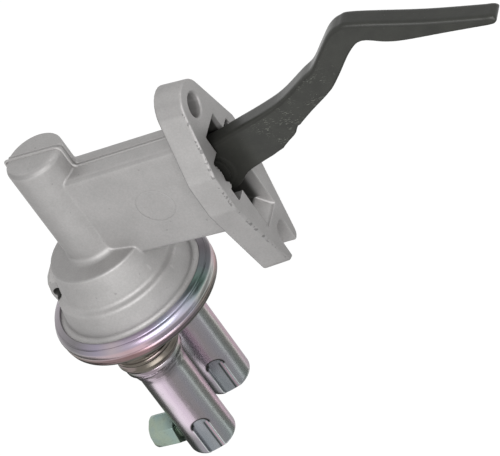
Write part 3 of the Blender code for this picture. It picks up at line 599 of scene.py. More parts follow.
def can_plating():
    """The cans' zinc plate, with long streaks of tint that run down the drawn wall, painted
    reflection bands round each can, and painted shadow, shade and highlights in the pressed
    recess.
    """
    plate = Finish("can_plating", Metallic=1.0)
    x, y, z = plate.parts(plate.place(location=(-CAN[0] * MM, -CAN[1] * MM, 0.0)))
    far = y.above(0.0165, 0.0175)
    y = y - far * (-2 * CAN[1] * MM)
    streaks = plate.noise(0.0030, 3.0, 0.5, stretch=(1.0, 1.0, 0.06))
    drift = plate.noise(0.014, 3.0, 0.5)
    share = x.maths("ARCTAN2", y, x) * (0.5 / math.pi) + 0.5
    share = share + (streaks - 0.5) * 0.05 + (drift - 0.5) * 0.06
    # The tint by turn is partly the plate's iridescence and partly painted reflection, with dark
    # and bright bands at fixed turns.
    tint = plate.ramp(share, [
        (0.00, (0.42, 0.45, 0.40)), (0.16, (0.24, 0.26, 0.22)), (0.20, (0.44, 0.42, 0.42)),
        (0.24, (0.72, 0.62, 0.71)), (0.30, (0.66, 0.55, 0.64)), (0.345, (0.50, 0.45, 0.47)),
        (0.41, (0.50, 0.49, 0.53)), (0.45, (0.50, 0.54, 0.52)), (0.49, (0.52, 0.52, 0.48)),
        (0.53, (0.82, 0.58, 0.68)), (0.59, (0.80, 0.62, 0.70)), (0.75, (0.66, 0.64, 0.66)),
        (1.00, (0.42, 0.45, 0.40))])
    low = 1.0 - z.above(-0.123, -0.109)
    collar = z.above(-0.0800, -0.0745) * (0.55 + 0.45 * plate.noise(
        0.0011, 1.0, stretch=(0.12, 0.12, 1.0)).above(0.42, 0.56))
    foot = (1.0 - z.above(-0.1170, -0.1040)) * (1.0 - share.above(0.27, 0.32))
    sideways = x * math.cos(RECESS_TURN) + y * math.sin(RECESS_TURN)
    front = (x * math.sin(RECESS_TURN) - y * math.cos(RECESS_TURN)).above(0.0040, 0.0050)
    up = z - RECESS_ARCH_Z * MM
    rise = up * up.above(-0.00001, 0.00001)
    spread = (sideways ** 2.0 + rise ** 2.0) ** 0.5
    below = 1.0 - up.above(-0.0010, 0.0004)
    pressed = (1.0 - spread.above(0.0032, 0.0038)) * front
    # Painted shadow under the arch's overhang, painted shade in a groove down the pressed floor,
    # and painted highlights along the recess rims.
    arch = spread.within(0.0028, 0.0046, 0.0004) * (1.0 - below) * front
    groove_shade = sideways.within(0.0012, 0.0020, 0.0002) * below * front
    pink_line = sideways.within(0.0024, 0.0029, 0.0002) * below * front
    rim_highlights = abs(sideways).within(0.0036, 0.0042, 0.0002) * below * front
    stains = plate.noise(0.0018, 4.0).above(0.62, 0.74)
    tint = plate.layers(
        tint, (low * 0.30, (0.46, 0.58, 0.55)), (collar * 0.75, (0.20, 0.19, 0.18), "MULTIPLY"),
        (foot * 0.75, (0.30, 0.30, 0.31), "MULTIPLY"), (pressed * 0.8, (0.32, 0.36, 0.38)),
        (pink_line * 0.7, (0.85, 0.52, 0.62)), (rim_highlights * 0.6, (0.84, 0.90, 0.88)),
        (arch + groove_shade * 0.8, (0.035, 0.035, 0.032)),
        (streaks.above(0.35, 0.70) * 0.5, (0.80, 0.80, 0.84), "MULTIPLY"),
        (stains * 0.22, (0.34, 0.32, 0.33)))
    plate.feed(Base_Color=tint, Roughness=0.20 + 0.12 * streaks + 0.12 * stains)
    ripples = plate.noise(0.0090, 2.0, stretch=(1.0, 1.0, 0.5))
    return plate.bump(ripples + 0.04 * plate.noise(0.0011, 2.0), 0.00012, 0.8)


def fitting_plating():
    """Blue-green plate of the hexagonal fittings."""
    plate = Finish("fitting_plating", Metallic=1.0)
    drift = plate.noise(0.012, 2.0)
    tint = plate.ramp(drift, [(0.30, (0.24, 0.32, 0.32)), (0.46, (0.27, 0.35, 0.32)),
                              (0.60, (0.31, 0.37, 0.30)), (0.75, (0.26, 0.33, 0.32))])
    scuffs = plate.noise(0.0016, 4.0).above(0.58, 0.70)
    plate.feed(Base_Color=plate.mix(scuffs * 0.35, tint, (0.20, 0.22, 0.19)),
               Roughness=0.30 + 0.18 * plate.noise(0.0015, 3.0))
    return plate.bump(plate.noise(0.0008, 2.0), 0.00002, 0.5)


def forged_phosphate():
    """Dark phosphated forging with scale, rubbed marks and light scratches, with painted shade at
    its root and along its near upper bevel.
    """
    forge = Finish("forged_phosphate", Metallic=0.0, Specular_IOR_Level=0.45)
    colour = Vector(bpy.context.scene.pump.forging_colour)
    scale_marks = forge.noise(0.007, 4.0)
    grain = forge.noise(0.0006, 3.0)
    x, y, z = forge.parts(forge.place())
    rubbed = x.within(0.020, 0.058, 0.006) * (1.0 - y.above(-0.0048, -0.0040))
    strokes = forge.noise(0.00055, 2.0, 0.6, where=forge.place(
        rotation=(0.0, math.radians(40), 0.0), scale=(0.35, 1.0, 2.0))).above(0.59, 0.67)
    patches = forge.noise(0.0060, 2.0).above(0.47, 0.57)
    tone = forge.mix(scale_marks.above(0.3, 0.7), tuple(colour * 0.80), tuple(colour * 1.2))
    tone = forge.mix(strokes * patches * rubbed * 0.8, tone, (0.26, 0.27, 0.23))
    specks = forge.noise(0.0013, 2.0).above(0.70, 0.76)
    tone = forge.mix(specks * 0.35, tone, (0.13, 0.13, 0.11))
    # Painted shade at the arm's root beside the window, partly oil: darker and duller.
    root = 1.0 - x.above(0.001, 0.016)
    tone = forge.mix(root * 0.80, tone, (0.006, 0.006, 0.004))
    # Painted shade on near faces that tilt a little upwards, along the upper edge's bevel.
    facing = forge.parts(forge.node("ShaderNodeNewGeometry", {}, output="Normal"))
    shoulder_shade = facing[2].within(0.22, 0.55, 0.08) * (1.0 - facing[1].above(-0.80, -0.55))
    tone = forge.mix(shoulder_shade * 0.6, tone, (0.010, 0.010, 0.008))
    forge.feed(Base_Color=tone, Roughness=0.26 + 0.14 * grain + 0.45 * root + 0.15 * shoulder_shade)
    return forge.bump(grain * 0.6 + scale_marks * 1.2, 0.00006, 0.8)


def spring_steel():
    """Bright drawn or turned steel with fine marks along it."""
    steel = Finish("spring_steel", Metallic=1.0)
    marks = steel.noise(0.0009, 3.0, stretch=(1.0, 1.0, 0.3))
    tone = steel.mix(steel.noise(0.006, 2.0), (0.34, 0.34, 0.35), (0.48, 0.48, 0.49))
    steel.feed(Base_Color=tone, Roughness=0.25 + 0.2 * marks)
    return steel.bump(marks, 0.00003, 0.5)


def fibrous(name, size, detail, tones, roughness, depth, strength):
    """A dull board or rubber whose colour, gloss and surface follow one grain."""
    board = Finish(name, Metallic=0.0)
    fibres = board.noise(size, detail)
    board.feed(Base_Color=board.mix(fibres, *tones), Roughness=roughness + 0.2 * fibres)
    return board.bump(fibres, depth, strength)


def seal_rubber():
    """Black fabric-backed rubber."""
    tones = (0.018, 0.018, 0.018), (0.040, 0.040, 0.042)
    return fibrous("seal_rubber", 0.0007, 2.0, tones, 0.65, 0.00008, 0.6)


def pressed_phenolic():
    """Brown pressed board of the valve discs."""
    tones = (0.16, 0.07, 0.03), (0.30, 0.15, 0.06)
    return fibrous("pressed_phenolic", 0.0012, 4.0, tones, 0.5, 0.00004, 0.5)


FINISHES = {make.__name__: make for make in (
    blasted_aluminium, zinc_plating, can_plating, fitting_plating, forged_phosphate,
    spring_steel, seal_rubber, pressed_phenolic)}


# The casting

NECK_HALF = 9.3


def neck_top(x):
    """Height of the neck's sloping top at a distance from the mounting face."""
    return 26.3 + 0.041 * x


def flange_section(x, grow):
    """The mounting flange seen from the engine, grown by its draft."""
    crown = 10.6 + grow * 0.5
    side = 18.7 + grow
    foot = -47.4 - grow
    lean = math.degrees(math.atan2(side - crown, 37.6 - 14.2))
    right = [(4.6, foot), (6.0 + grow, foot), (7.0 + grow, foot + 0.3),
             (7.8 + grow, foot + 1.0), (8.4 + grow, foot + 2.0), (side - 0.5, -6.2),
             (side - 0.1, -5.0), (side, -4.0), (side, 12.8), (side - 0.1, 13.8),
             (side - 0.5, 14.8)]
    left = [(-y, z) for y, z in reversed(right)]
    return across_x(right + arc((0.0, 37.6), crown, lean, 180 - lean, 36) + left, x)


def neck_section(x):
    """The neck cut across: a soft near top edge and a lower far half."""
    top, bottom, side = neck_top(x), -23.6 - 0.0115 * x, NECK_HALF
    corners = [(-side, bottom, 2.0), (side, bottom, 2.0), (side, top - 1.4, 2.8),
               (0.3, top - 1.4, 0), (0.3, top, 0), (-side, top, 3.0)]
    return across_x(rounded(corners), x)


def turned_body(name, rim):
    """Tower, dome and clamping rim as one turned piece below the given tower rim."""
    profile = rim + arc((16.5, -13.9), 3.2, 180, 266, 12)
    profile += arc((21.8, -19.3), 1.3, 80, 10, 6)
    profile += [(25.5, -30.6)] + arc((27.5, -31.2), 1.9, 190, 256, 6)
    profile += arc((27.1, -35.1), 1.9, 75, 12, 6)
    profile += [(30.6, -43.4)] + arc((32.6, -43.7), 2.0, 190, 265, 6)
    profile += [(36.4, CLAMP_TOP), (36.4, CLAMP_TOP - 2.4), (0.0, CLAMP_TOP - 2.4)]
    return turn(name, profile)


def vent_boss():
    """The boss beside the dome, whose near end is lower and stands back a little."""
    outline = rounded([(-92.0, -18.1, 0), (-100.8, -18.1, 3), (-107.7, -26.1, 2),
                       (-109.1, -32.0, 2), (-108.9, -36.4, 1), (-107.3, -38.8, 0.5),
                       (-92.0, -38.8, 0)])
    boss = block("boss", across_y(outline, 3.0), (0, -7.5, 0))
    bpy.ops.mesh.extrude_region_move(TRANSFORM_OT_translate={"value": (0, -4.7, 0)})
    pick(lambda at, normal: at.y < -9.0 and at.x < -93, "VERT")
    bpy.ops.transform.translate(value=(1.4, 0, 0))
    pick(lambda at, normal: at.y < -9.0 and at.z > -26.1, "VERT")
    bpy.ops.transform.resize(value=(1, 1, 0), center_override=(-100, 0, -26.1))
    return close_up(boss)


def casting_shell():
    """The casting's outside: tower, dome, neck, flange and vent boss."""
    body = half(turned_body("casting", [(0.0, 35.6)] + arc((10.3, 32.6), 3.0, 90, 0, 9)), -1)
    far = half(turned_body("far_half", [(0.0, 34.5)] + arc((12.4, 33.6), 0.9, 90, 0, 5)), 1, -0.3)
    combine(body, far, "UNION")
    combine(body, loft("neck", [neck_section(-79.0), neck_section(-6.0)]), "UNION")
    flange = loft("flange", [flange_section(-12.5, 0.9), flange_section(-11.7, 0.9),
                             flange_section(-0.6, 0.3), flange_section(0.0, -0.2)])
    combine(body, flange, "UNION")
    combine(body, vent_boss(), "UNION")
    return body


def casting_hollows(body):
    """Cuts the window, lever room, bores, bolt openings and vent into the casting."""
    chamber = [(0, -20.8), (20.0, -20.8), (21.2, -21.5), (23.5, -32.5), (25.5, -34.5),
               (28.2, -44.5), (28.4, -49.2), (0, -49.2)]
    room = [(-79, -17.3), (-56, -17.3), (-54, -20.8), (-10, -21.4), (-6.3, -22.4), (-1, -27.8),
            (2, -27.8), (2, 25.4), (-6, 25.4), (-12.5, 20.5), (-79, 20.5)]
    pocket = [(-12.0, -5.2), (2, -5.2), (2, 16.6), (-12.0, 16.6)]
    slot = [(-4.7, -52), (4.7, -52)] + arc((0, -37.6), 4.7, 0, 180, 24)
    for tool in (
            turn("chamber", chamber, steps=96),
            tube("tower_bore", (*TOWER, -17.3), (0, 0, 1), 10.2, 48.6),
            close_up(block("lever_room", across_y(room, -7.1), (0, 14.2, 0))),
            close_up(block("pin_pocket", across_y(pocket, -13.2), (0, 26.4, 0))),
            tube("rod_hole", (*TOWER, -23), (0, 0, 1), 3.2, 8),
            tube("bolt_hole", (2, 0, BOLT_HOLE_Z), (-1, 0, 0), 5.2, 18, 64),
            tube("countersink", (0.4, 0, BOLT_HOLE_Z), (-1, 0, 0), 6.2, 1.4, 64, 4.8),
            close_up(block("bolt_slot", across_x(slot, -16), (18, 0, 0))),
            tube("vent", VENT - VENT_AIM * 4, VENT_AIM, 2.15, 15)):
        combine(body, tool)


class PUMP_OT_casting(bpy.types.Operator):
    """Model the die-cast body with its tower, neck, flange and dome"""

    bl_idname = "pump.casting"
    bl_label = "Casting"

    def execute(self, context):
        body = casting_shell()
        casting_hollows(body)
        soften(body, context.scene.pump.voxel / MM, 2, 195000)
        settle(body, "housing", finish_named("blasted_aluminium"), "body_casting",
               sharp=None)
        return {"FINISHED"}


class PUMP_OT_parting_bead(bpy.types.Operator):
    """Model the bead along the casting's parting line and the finer rib beside it"""

    bl_idname = "pump.parting_bead"
    bl_label = "Parting bead"

    def execute(self, context):
        bead = rounded([(-92.2, 27.0, 0), (-92.3, 35.65, 1.6), (-65.6, 35.65, 3.0),
                        (-65.6, neck_top(-65.6) - 0.3, 3.0), (-12.3, neck_top(-12.3) - 0.3, 0)], 8)
        fine = rounded([(-91.8, 27.0, 0), (-91.9, 34.35, 1.0), (-66.1, 34.35, 1.6),
                        (-66.1, neck_top(-66.1) - 1.55, 2.4),
                        (-12.3, neck_top(-12.3) - 1.55, 0)], 8)
        for name, path, y, radius in (("parting_bead", bead, -0.55, 0.62),
                                      ("parting_rib", fine, 2.9, 0.42)):
            settle(rib(name, across_y(path, y), radius), "housing",
                   finish_named("blasted_aluminium"), sharp=60.0)
        return {"FINISHED"}


class PUMP_OT_staking(bpy.types.Operator):
    """Model the peened metal that holds the pivot pin at the window's near and far edges"""

    bl_idname = "pump.staking"
    bl_label = "Staking"

    def execute(self, context):
        edge = [(13.0, 14.6), (12.6, 14.4), (12.2, 13.5), (12.5, 12.9), (12.0, 11.9), (12.4, 11.2),
                (11.8, 10.3), (12.2, 9.4), (12.1, 8.7), (12.6, 7.6), (13.0, 6.2), (12.0, 4.8),
                (11.0, 3.7), (11.5, 3.1), (11.1, 2.5), (11.6, 1.9), (12.2, 1.7), (13.6, 1.6),
                (13.9, 0.2), (14.2, -2.0), (14.4, 8.0), (14.2, 14.8)]
        for side, name in ((-1, "staking_near"), (1, "staking_far")):
            outline = across_x([(side * y, z) for y, z in edge], -3.3)
            lip = close_up(block(name, outline, (3.05, 0, 0)))
            soften(lip, 0.13, 1, 14000)
            settle(lip, "housing", finish_named("blasted_aluminium"), sharp=None)
        return {"FINISHED"}


# Plated steel pieces

class PUMP_OT_crimp_ring(bpy.types.Operator):
    """Model the crimped ring with its rolled lip, groove and turned-in lower edge"""

    bl_idname = "pump.crimp_ring"
    bl_label = "Crimp ring"

    def execute(self, context):
        profile = [(36.7, CLAMP_TOP + 0.3), (33.6, CLAMP_TOP + 0.3)]
        profile += arc((34.05, -44.98), 0.5, 200, 80, 6)
        profile += arc((34.2, -48.3), 3.78, 88, 60, 4)
        profile += arc((34.5, -48.75), 3.42, 56, -22, 20)
        profile += [(37.56, -50.55), (37.30, -50.82), (37.18, -51.02), (37.26, -51.22)]
        profile += arc((36.45, -52.2), 1.22, 50, -18, 8)
        profile += [(37.50, -53.0)] + arc((35.3, -53.3), 2.15, 6, -80, 12)
        profile += [(34.9, -55.45), (34.4, -55.25), (34.4, -54.7)]
        profile += arc((34.9, -53.35), 1.1, -75, 0, 6) + [(35.9, -51.6), (35.9, -51.3)]
        profile += [(36.7, -51.3), (36.7, CLAMP_TOP + 0.3)]
        ring = turn("ring", profile, steps=256)
        settle(ring, "housing", finish_named("zinc_plating"), "crimp_ring")
        return {"FINISHED"}


class PUMP_OT_cover(bpy.types.Operator):
    """Model the pressed lower cover with a beaded neck over each can"""

    bl_idname = "pump.cover"
    bl_label = "Lower cover"

    def execute(self, context):
        profile = [(0, -56.3)] + arc((30.7, -54.5), 1.8, -90, 0, 6)
        profile += [(32.5, -49.8), (36.4, -49.8), (36.4, -51.0), (33.7, -51.0)]
        profile += arc((30.7, -54.5), 3.0, 0, -90, 8) + [(0, -57.5)]
        cover = turn("cover", profile, steps=192)
        neck = [(13.2, -56.9), (14.2, -56.9), (14.2, -57.4)] + arc((15.6, -58.9), 1.4, 92, 180, 4)
        neck += [(14.2, -60.2), (13.9, -60.6), (13.9, -61.2)]
        neck += arc((13.7, -62.5), 1.1, 68, -68, 8) + [(13.75, -64.1), (13.9, -64.5)]
        neck += arc((13.6, -66.2), 1.15, 48, -60, 8) + [(14.0, -67.8), (13.8, -68.3)]
        neck += [(13.2, -68.3), (13.2, -56.9)]
        for y in (CAN[1], -CAN[1]):
            combine(cover, tube("opening", (CAN[0], y, -60), (0, 0, 1), 13.2, 8, 96))
            combine(cover, turn("neck", neck, (CAN[0], y), steps=160), "UNION")
        settle(cover, "housing", finish_named("zinc_plating"), "lower_cover")
        return {"FINISHED"}


def pressing_tool():
    """The punch whose flat, arched face presses the recess, standing in front of the axis."""
    arch = arc((0.0, RECESS_ARCH_Z), 3.5, 0, 180, 24)
    outline = [(x, -8.3, z) for x, z in [(3.5, -129.0)] + arch + [(-3.5, -129.0)]]
    tool = block("punch", outline, (0, -4.4, 0))
    bpy.ops.transform.resize(value=(1.16, 1.0, 1.0), center_override=(0, 0, RECESS_ARCH_Z))
    pick(lambda at, normal: at.y < -12 and at.z > -109.0, "VERT")
    bpy.ops.transform.translate(value=(0, 0, 0.5))
    close_up(tool)
    edit(tool)
    pick(lambda at, line: at.y > -8.4 and at.z > -128.9, "EDGE")
    bpy.ops.mesh.bevel(offset=0.35, segments=3, affect="EDGES")
    return close_up(tool)


def press_recess(can):
    """Presses the can's near wall on to the punch and eases the pressed edges."""
    tool = pressing_tool()
    edit(can)
    pick(lambda at, normal: at.y < -4.0 and at.z < -100.0 and abs(at.x) < 6.5, "VERT")
    alone(can)
    group = can.vertex_groups.new(name="pressed")
    group.add([v.index for v in can.data.vertices if v.select], 1.0, "REPLACE")
    modify(can, "SHRINKWRAP", target=tool, wrap_method="PROJECT", use_project_y=True,
           use_positive_direction=True, use_negative_direction=False, project_limit=4.5,
           vertex_group="pressed")
    bpy.data.objects.remove(tool, do_unlink=True)
    modify(can, "SMOOTH", factor=0.5, iterations=2, vertex_group="pressed")


class PUMP_OT_cans(bpy.types.Operator):
    """Model the drawn can with its pressed recess, and copy it to the far side"""

    bl_idname = "pump.cans"
    bl_label = "Cans"

    def execute(self, context):
        outer = [(12.9, -65.0), (12.9, -68.6), (13.35, -68.6), (13.6, -68.9), (13.6, -71.4)]
        outer += arc((13.1, -71.3), 0.5, 0, -60, 4) + [(12.5, -72.6)]
        outer += [(12.15, -73.6), (12.0, -74.8), (11.6, -76.2), (11.1, -77.4), (11.0, -78.4)]
        outer += [(11.0, -78.4 - 1.6 * i) for i in range(1, 16)]
        outer += [(11.0, -103.0 - 0.28 * i) for i in range(72)]
        outer += arc((8.0, -123.1), 3.0, 0, -90, 16)
        outer += [(7.6 - 0.4 * i, -126.1) for i in range(19)] + [(0.0, -126.1)]
        can = turn("can_near", outer, (0.0, 0.0), steps=320)
        press_recess(can)
        modify(can, "SOLIDIFY", thickness=1.0, offset=-1.0, use_even_offset=False)
        edit(can)
        bpy.ops.transform.rotate(value=-RECESS_TURN, orient_axis="Z", center_override=(0, 0, 0))
        bpy.ops.transform.translate(value=(CAN[0], CAN[1], 0))
        alone(can)
        far = twin(can, "can_far", FAR_SHIFT)
        for piece, node in ((can, "outlet_can"), (far, "inlet_can")):
            settle(piece, "housing", finish_named("can_plating"), node, sharp=50.0)
        return {"FINISHED"}


class PUMP_OT_fittings(bpy.types.Operator):
    """Model the hexagonal fitting with its threaded shank and flare seat, and copy it"""

    bl_idname = "pump.fittings"
    bl_label = "Fittings"

    def execute(self, context):
        start, hex_start, hex_end = FITTING_HIGH.x, FITTING_HIGH.x - 1.6, FITTING_LOW.x
        corner = 14.0 / math.sqrt(3)
        hexagon = [(CAN[1] + corner * math.cos(math.radians(140 + 60 * i)),
                    FITTING_Z + corner * math.sin(math.radians(140 + 60 * i))) for i in range(6)]
        fitting = close_up(block("fitting_near", across_x(hexagon, hex_start),
                                 (hex_end - hex_start, 0, 0)))
        edit(fitting)
        bpy.ops.mesh.bevel(offset=0.3, segments=3, affect="EDGES")
        close_up(fitting)
        trim = tube("trim", (hex_start + 2, CAN[1], FITTING_Z), (-1, 0, 0), 10.6, 14, 96, 7.2)
        combine(fitting, trim, "INTERSECT")
        trim = tube("trim", (hex_start + 0.5, CAN[1], FITTING_Z), (-1, 0, 0), 8.0, 14, 96, 15.0)
        combine(fitting, trim, "INTERSECT")
        thread = [(0.0, 0.0), (4.7, 0.0)]
        for i in range(5):
            thread += [(4.7, 0.15 + i * 0.62), (4.35, 0.40 + i * 0.62), (4.7, 0.65 + i * 0.62)]
        thread += [(4.7, 3.6), (0.0, 3.6)]
        shank = draw("shank", [(start - along, CAN[1], FITTING_Z + radius)
                               for radius, along in thread])
        bpy.ops.mesh.spin(steps=48, angle=math.tau, center=(0, CAN[1], FITTING_Z), axis=(1, 0, 0))
        combine(fitting, close_up(shank), "UNION")
        combine(fitting, tube("bore", (start + 2, CAN[1], FITTING_Z), (-1, 0, 0), 3.2, 22))
        combine(fitting, tube("flare", (hex_end - 0.5, CAN[1], FITTING_Z), (1, 0, 0), 5.2, 5.5,
                              48, 4.6))
        far = twin(fitting, "fitting_far", FAR_SHIFT)
        for piece, node in ((fitting, "outlet_fitting"), (far, "inlet_fitting")):
            settle(piece, "housing", finish_named("fitting_plating"), node,
                   sharp=25.0)
        return {"FINISHED"}


# The forged arm

def arm_outline():
    """The arm seen from the near side, as (x, z), with its trimmed flash at the lower edge."""
    upper = [(-17.5, 13.5), (-8.0, 17.6), (2.0, 20.2), (10.0, 22.6), (24.5, 26.7), (35.9, 30.8),
             (49.0, 38.2), (56.0, 42.0), (63.2, 48.9), (70.4, 55.7), (76.0, 58.3), (82.6, 58.0),
             (109.3, 49.9), (132.5, 44.2)]
    tip = [(134.6, 43.9), (136.2, 43.3), (136.8, 42.2), (136.6, 41.0), (135.2, 40.0)]
    lower = [(133.0, 40.0), (115.5, 42.0), (98.5, 43.8), (90.9, 45.6), (82.3, 49.0), (75.5, 45.5),
             (66.3, 36.5), (60.4, 31.0), (57.1, 28.7), (54.9, 27.3), (46.4, 22.4), (39.6, 18.1)]
    rough = [(38.3, 17.2), (37.4, 17.0), (36.8, 16.6), (35.5, 15.2), (34.5, 13.8), (32.8, 12.5),
             (30.2, 11.0), (27.0, 8.9), (26.4, 8.5), (25.7, 7.9), (24.2, 7.4), (19.5, 5.6)]
    root = [(14.6, 4.1), (5.2, 0.6), (-1.8, -4.8), (-10.0, -6.0), (-17.5, -4.0)]
    return through(upper, 5) + tip + through(lower, 4) + rough + through(root, 4)


class PUMP_OT_rocker_arm(bpy.types.Operator):
    """Model the forged rocker arm with its hub and forked inner lever"""

    bl_idname = "pump.rocker_arm"
    bl_label = "Rocker arm"

    def execute(self, context):
        edge = context.scene.pump.edge_radius / MM
        arm = close_up(block("rocker", across_y(arm_outline(), -4.7), (0, 9.4, 0)))
        for radius, upward in ((edge, 1), (0.6, -1)):
            edit(arm)
            pick(lambda at, line: abs(at.y) > 4.69 and any(
                abs(face.normal.y) < 0.5 and face.normal.z * upward > 0.1
                for face in line.link_faces), "EDGE")
            bpy.ops.mesh.bevel(offset=radius, segments=4, affect="EDGES")
            close_up(arm)
        combine(arm, tube("hub", (PIVOT.x, -4.9, PIVOT.z), (0, 1, 0), 8.5, 9.8, 96), "UNION")
        lever = [(-15.5, 11.0), (-40, 3.5), (-66, 1.2), (-73, 1.5), (-79, 2.0), (-85, 1.5),
                 (-86, 0.8), (-86, -3.0), (-66, -5.2), (-40, -6.0), (-15.5, -4.5)]
        combine(arm, close_up(block("lever", across_y(lever, -5.2), (0, 10.4, 0))), "UNION")
        fork = [(-88, -3.0), (-79, -3.0)] + arc((-79, 0), 3.3, -75, 75, 12)
        fork += [(-79, 3.0), (-88, 3.0)]
        slot = close_up(block("fork", [(x, y, -12) for x, y in fork], (0, 0, 24)))
        combine(arm, slot)
        combine(arm, tube("bore", (PIVOT.x, -12, PIVOT.z), (0, 1, 0), 3.8, 24, 64))
        soften(arm, 0.36, 2, 120000)
        settle(arm, "rocker", finish_named("forged_phosphate"), "rocker_arm",
               sharp=None)
        return {"FINISHED"}


# The springs and the diaphragm

def coil(node, wire, turns, centre, start, end):
    """A compression spring with closed ends that fills the height of its frame node."""
    low, high = reach(node)
    count = int(turns * 28)
    points = []
    for i in range(count + 1):
        t = i / count
        angle = math.tau * turns * t
        radius = start + (end - start) * t
        rise = (high.z - low.z - 2 * wire) * (t - 0.11 * math.sin(math.tau * t))
        points.append((centre[0] + radius * math.cos(angle), centre[1] + radius * math.sin(angle),
                       low.z + wire + rise))
    return rib(node + "_coil", points, wire)


class PUMP_OT_springs(bpy.types.Operator):
    """Model the springs; in the pump they shorten towards their fixed ends as the rod and discs
    lift
    """

    bl_idname = "pump.springs"
    bl_label = "Springs"

    def execute(self, context):
        far = (CAN[0], -CAN[1])
        for node, wire, turns, centre, start, end, joint in (
                ("arm_return_spring", 0.8, 6.5, TOWER, 7.3, 7.3, "diaphragm_lift"),
                ("diaphragm_spring", 1.0, 4.5, TOWER, 14.75, 14.75, "diaphragm_lift"),
                ("outlet_valve_spring", 0.3, 2.5, CAN, 3.0, 5.2, "outlet_valve_lift"),
                ("inlet_valve_spring", 0.3, 2.5, far, 5.2, 3.0, "inlet_valve_lift")):
            spring = settle(coil(node, wire, turns, centre, start, end), "housing",
                            finish_named("spring_steel"), node)
            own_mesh(spring)
        return {"FINISHED"}


class PUMP_OT_diaphragm(bpy.types.Operator):
    """Model the diaphragm; in the pump its rim stays clamped while its middle lifts with the rod
    """

    bl_idname = "pump.diaphragm"
    bl_label = "Diaphragm"

    def execute(self, context):
        upper = [(2.8, -45.5)] + through(
            [(20.5, -45.5), (22.8, -44.8), (24.6, -45.3), (26.2, -47.5), (27.8, -48.5)], 6)
        lower = [(36.4, -48.5), (36.4, -49.5)] + through(
            [(27.4, -49.5), (25.4, -48.5), (24.0, -46.3), (22.8, -45.8), (20.7, -46.5)], 6)
        sheet = turn("diaphragm_sheet", upper + lower + [(2.8, -46.5), (2.8, -45.5)], steps=96)
        settle(sheet, None, finish_named("seal_rubber"), "diaphragm")
        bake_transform(sheet)
        return {"FINISHED"}


class PUMP_OT_inner_pieces(bpy.types.Operator):
    """Give the pieces that stay as they are in the frame their finishes"""

    bl_idname = "pump.inner_pieces"
    bl_label = "Inner pieces"

    def execute(self, context):
        finishes = {"rod_seal": "seal_rubber", "pivot_pin": "forged_phosphate",
                    "hub_washer_near": "forged_phosphate", "hub_washer_far": "forged_phosphate",
                    "outlet_valve_disc": "pressed_phenolic",
                    "inlet_valve_disc": "pressed_phenolic"}
        for name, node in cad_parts.items():
            if node.hide_render:
                continue
            node.data.materials.clear()
            node.data.materials.append(finish_named(finishes.get(name, "spring_steel")))
        return {"FINISHED"}


# The stage: cards in millimetres and degrees, light and camera in metres

FLOOR_GLOW, FLOOR_SHARE, WORLD_LEVEL = 1.26, 0.78, 0.16
CARD_Z, CARD_NEAR, CARD_FAR = -197.0, 25, 340
CARDS = (("left_card", -150, -56, 0.14), ("middle_card", 10, 92, 0.41),
         ("right_card", 100, 144, 0.24), ("back_card", 152, 208, 0.50))
KEY_AZIMUTH, KEY_ELEVATION = math.radians(26.0), math.radians(31.0)
KEY_AIM, KEY_DISTANCE, KEY_SIZE = Vector((-0.02, 0, -0.02)), 1.2, 0.9
CAMERA_PLACE, CAMERA_LENS = (0.6438, -0.9797, 0.7897), 252.0
CAMERA_AXES = ((0.862, 0.180, -0.474), (0.220, 0.709, 0.670), (0.457, -0.682, 0.572))


def backdrop_finish(colour):
    """A plain floor that reads as white to the camera and in metal, and still takes a shadow."""
    floor = Finish("floor_finish", Base_Color=tuple(colour), Roughness=0.9)
    glow = floor.node("ShaderNodeEmission", {}, FLOOR_GLOW, slots=("Strength",))
    plain = Value(floor, floor.shader.outputs[0])
    return floor.show(
        floor.node("ShaderNodeMixShader", {}, floor.seen() * FLOOR_SHARE, plain, glow))


def card_finish(name, level):
    """Plain card that shows one level of grey in the metal."""
    card = Finish(name)
    return card.show(card.node("ShaderNodeEmission", {}, (level, level, level), slots=("Color",)))


def card(name, start, end, level):
    """A sector near the floor that only reflections see, from one azimuth to another."""
    angle = math.radians(start)
    towards = Vector((math.sin(angle), -math.cos(angle), 0))
    centre = Vector((*TOWER, CARD_Z))
    obj = draw(name, [centre + towards * CARD_NEAR, centre + towards * CARD_FAR])
    bpy.ops.mesh.spin(steps=24, angle=math.radians(end - start), center=centre, axis=(0, 0, -1))
    alone(obj)
    obj.scale = (MM, MM, MM)
    bpy.ops.object.transform_apply(location=True, rotation=True, scale=True)
    obj.data.materials.append(card_finish(name + "_finish", level))
    obj.visible_camera = False
    obj.visible_diffuse = False
    obj.visible_shadow = False


def key_light(power):
    """The large soft light in front of the pump."""
    level = math.cos(KEY_ELEVATION)
    towards = Vector((math.sin(KEY_AZIMUTH) * level, -math.cos(KEY_AZIMUTH) * level,
                      math.sin(KEY_ELEVATION)))
    bpy.ops.object.light_add(type="AREA", location=KEY_AIM + towards * KEY_DISTANCE,
                             rotation=towards.to_track_quat("Z", "Y").to_euler())
    light = bpy.context.active_object
    light.name = "key_light"
    light.data.energy = power
    light.data.size = KEY_SIZE


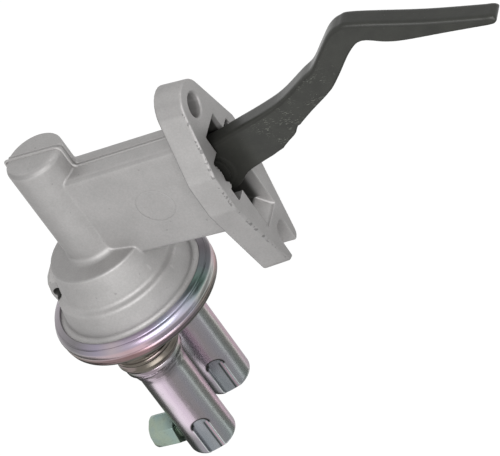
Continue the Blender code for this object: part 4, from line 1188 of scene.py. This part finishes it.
class PUMP_OT_stage(bpy.types.Operator):
    """Set up the floor, the cards, the soft light, the world and the camera"""

    bl_idname = "pump.stage"
    bl_label = "Stage"

    def execute(self, context):
        settings = context.scene.pump
        alone()
        bpy.ops.mesh.primitive_circle_add(vertices=96, radius=9.0, fill_type="NGON",
                                          location=(0, 0, -0.2))
        floor = context.active_object
        floor.name = "floor"
        floor.data.materials.append(backdrop_finish(settings.floor_colour))
        for row in CARDS:
            card(*row)
        key_light(settings.key_power)
        world = bpy.data.worlds.new("studio")
        context.scene.world = world
        world.use_nodes = True
        sky = Nodes(world.node_tree)
        background = sky.tree.nodes["Background"].inputs
        sky.plug(background["Color"], (1.0, 1.0, 1.0))
        sky.plug(background["Strength"], sky.node("ShaderNodeMapRange", {}, sky.seen(), 0.0, 1.0,
                                                  WORLD_LEVEL, 1.0))
        bpy.ops.object.camera_add()
        camera = context.active_object
        camera.name = "camera"
        camera.matrix_world = Matrix.Translation(CAMERA_PLACE) @ Matrix(
            CAMERA_AXES).transposed().to_4x4()
        camera.data.lens = CAMERA_LENS
        camera.data.sensor_width = 36.0
        camera.data.clip_end = 50.0
        context.scene.camera = camera
        context.scene.view_settings.view_transform = "Standard"
        return {"FINISHED"}


OPERATORS = (PUMP_OT_casting, PUMP_OT_parting_bead, PUMP_OT_staking, PUMP_OT_crimp_ring,
             PUMP_OT_cover, PUMP_OT_cans, PUMP_OT_fittings, PUMP_OT_rocker_arm,
             PUMP_OT_springs, PUMP_OT_diaphragm, PUMP_OT_inner_pieces, PUMP_OT_stage)


class PUMP_PT_sidebar(bpy.types.Panel):
    """Lists the pump's settings and the steps that model it"""

    bl_idname = "PUMP_PT_sidebar"
    bl_label = "Fuel Pump"
    bl_space_type = "VIEW_3D"
    bl_region_type = "UI"
    bl_category = "Pump"

    def draw(self, context):
        settings = context.scene.pump
        for name in PumpSettings.__annotations__:
            self.layout.prop(settings, name)
        for operator in OPERATORS:
            self.layout.operator(operator.bl_idname)


CLASSES = (PumpSettings, *OPERATORS, PUMP_PT_sidebar)


def register():
    for cls in CLASSES:
        bpy.utils.register_class(cls)
    bpy.types.Scene.pump = bpy.props.PointerProperty(type=PumpSettings)


def unregister():
    del bpy.types.Scene.pump
    for cls in reversed(CLASSES):
        bpy.utils.unregister_class(cls)


def main():
    register()
    for operator in OPERATORS:
        getattr(bpy.ops.pump, operator.bl_idname.split(".")[1])()


if __name__ == "__main__":
    main()
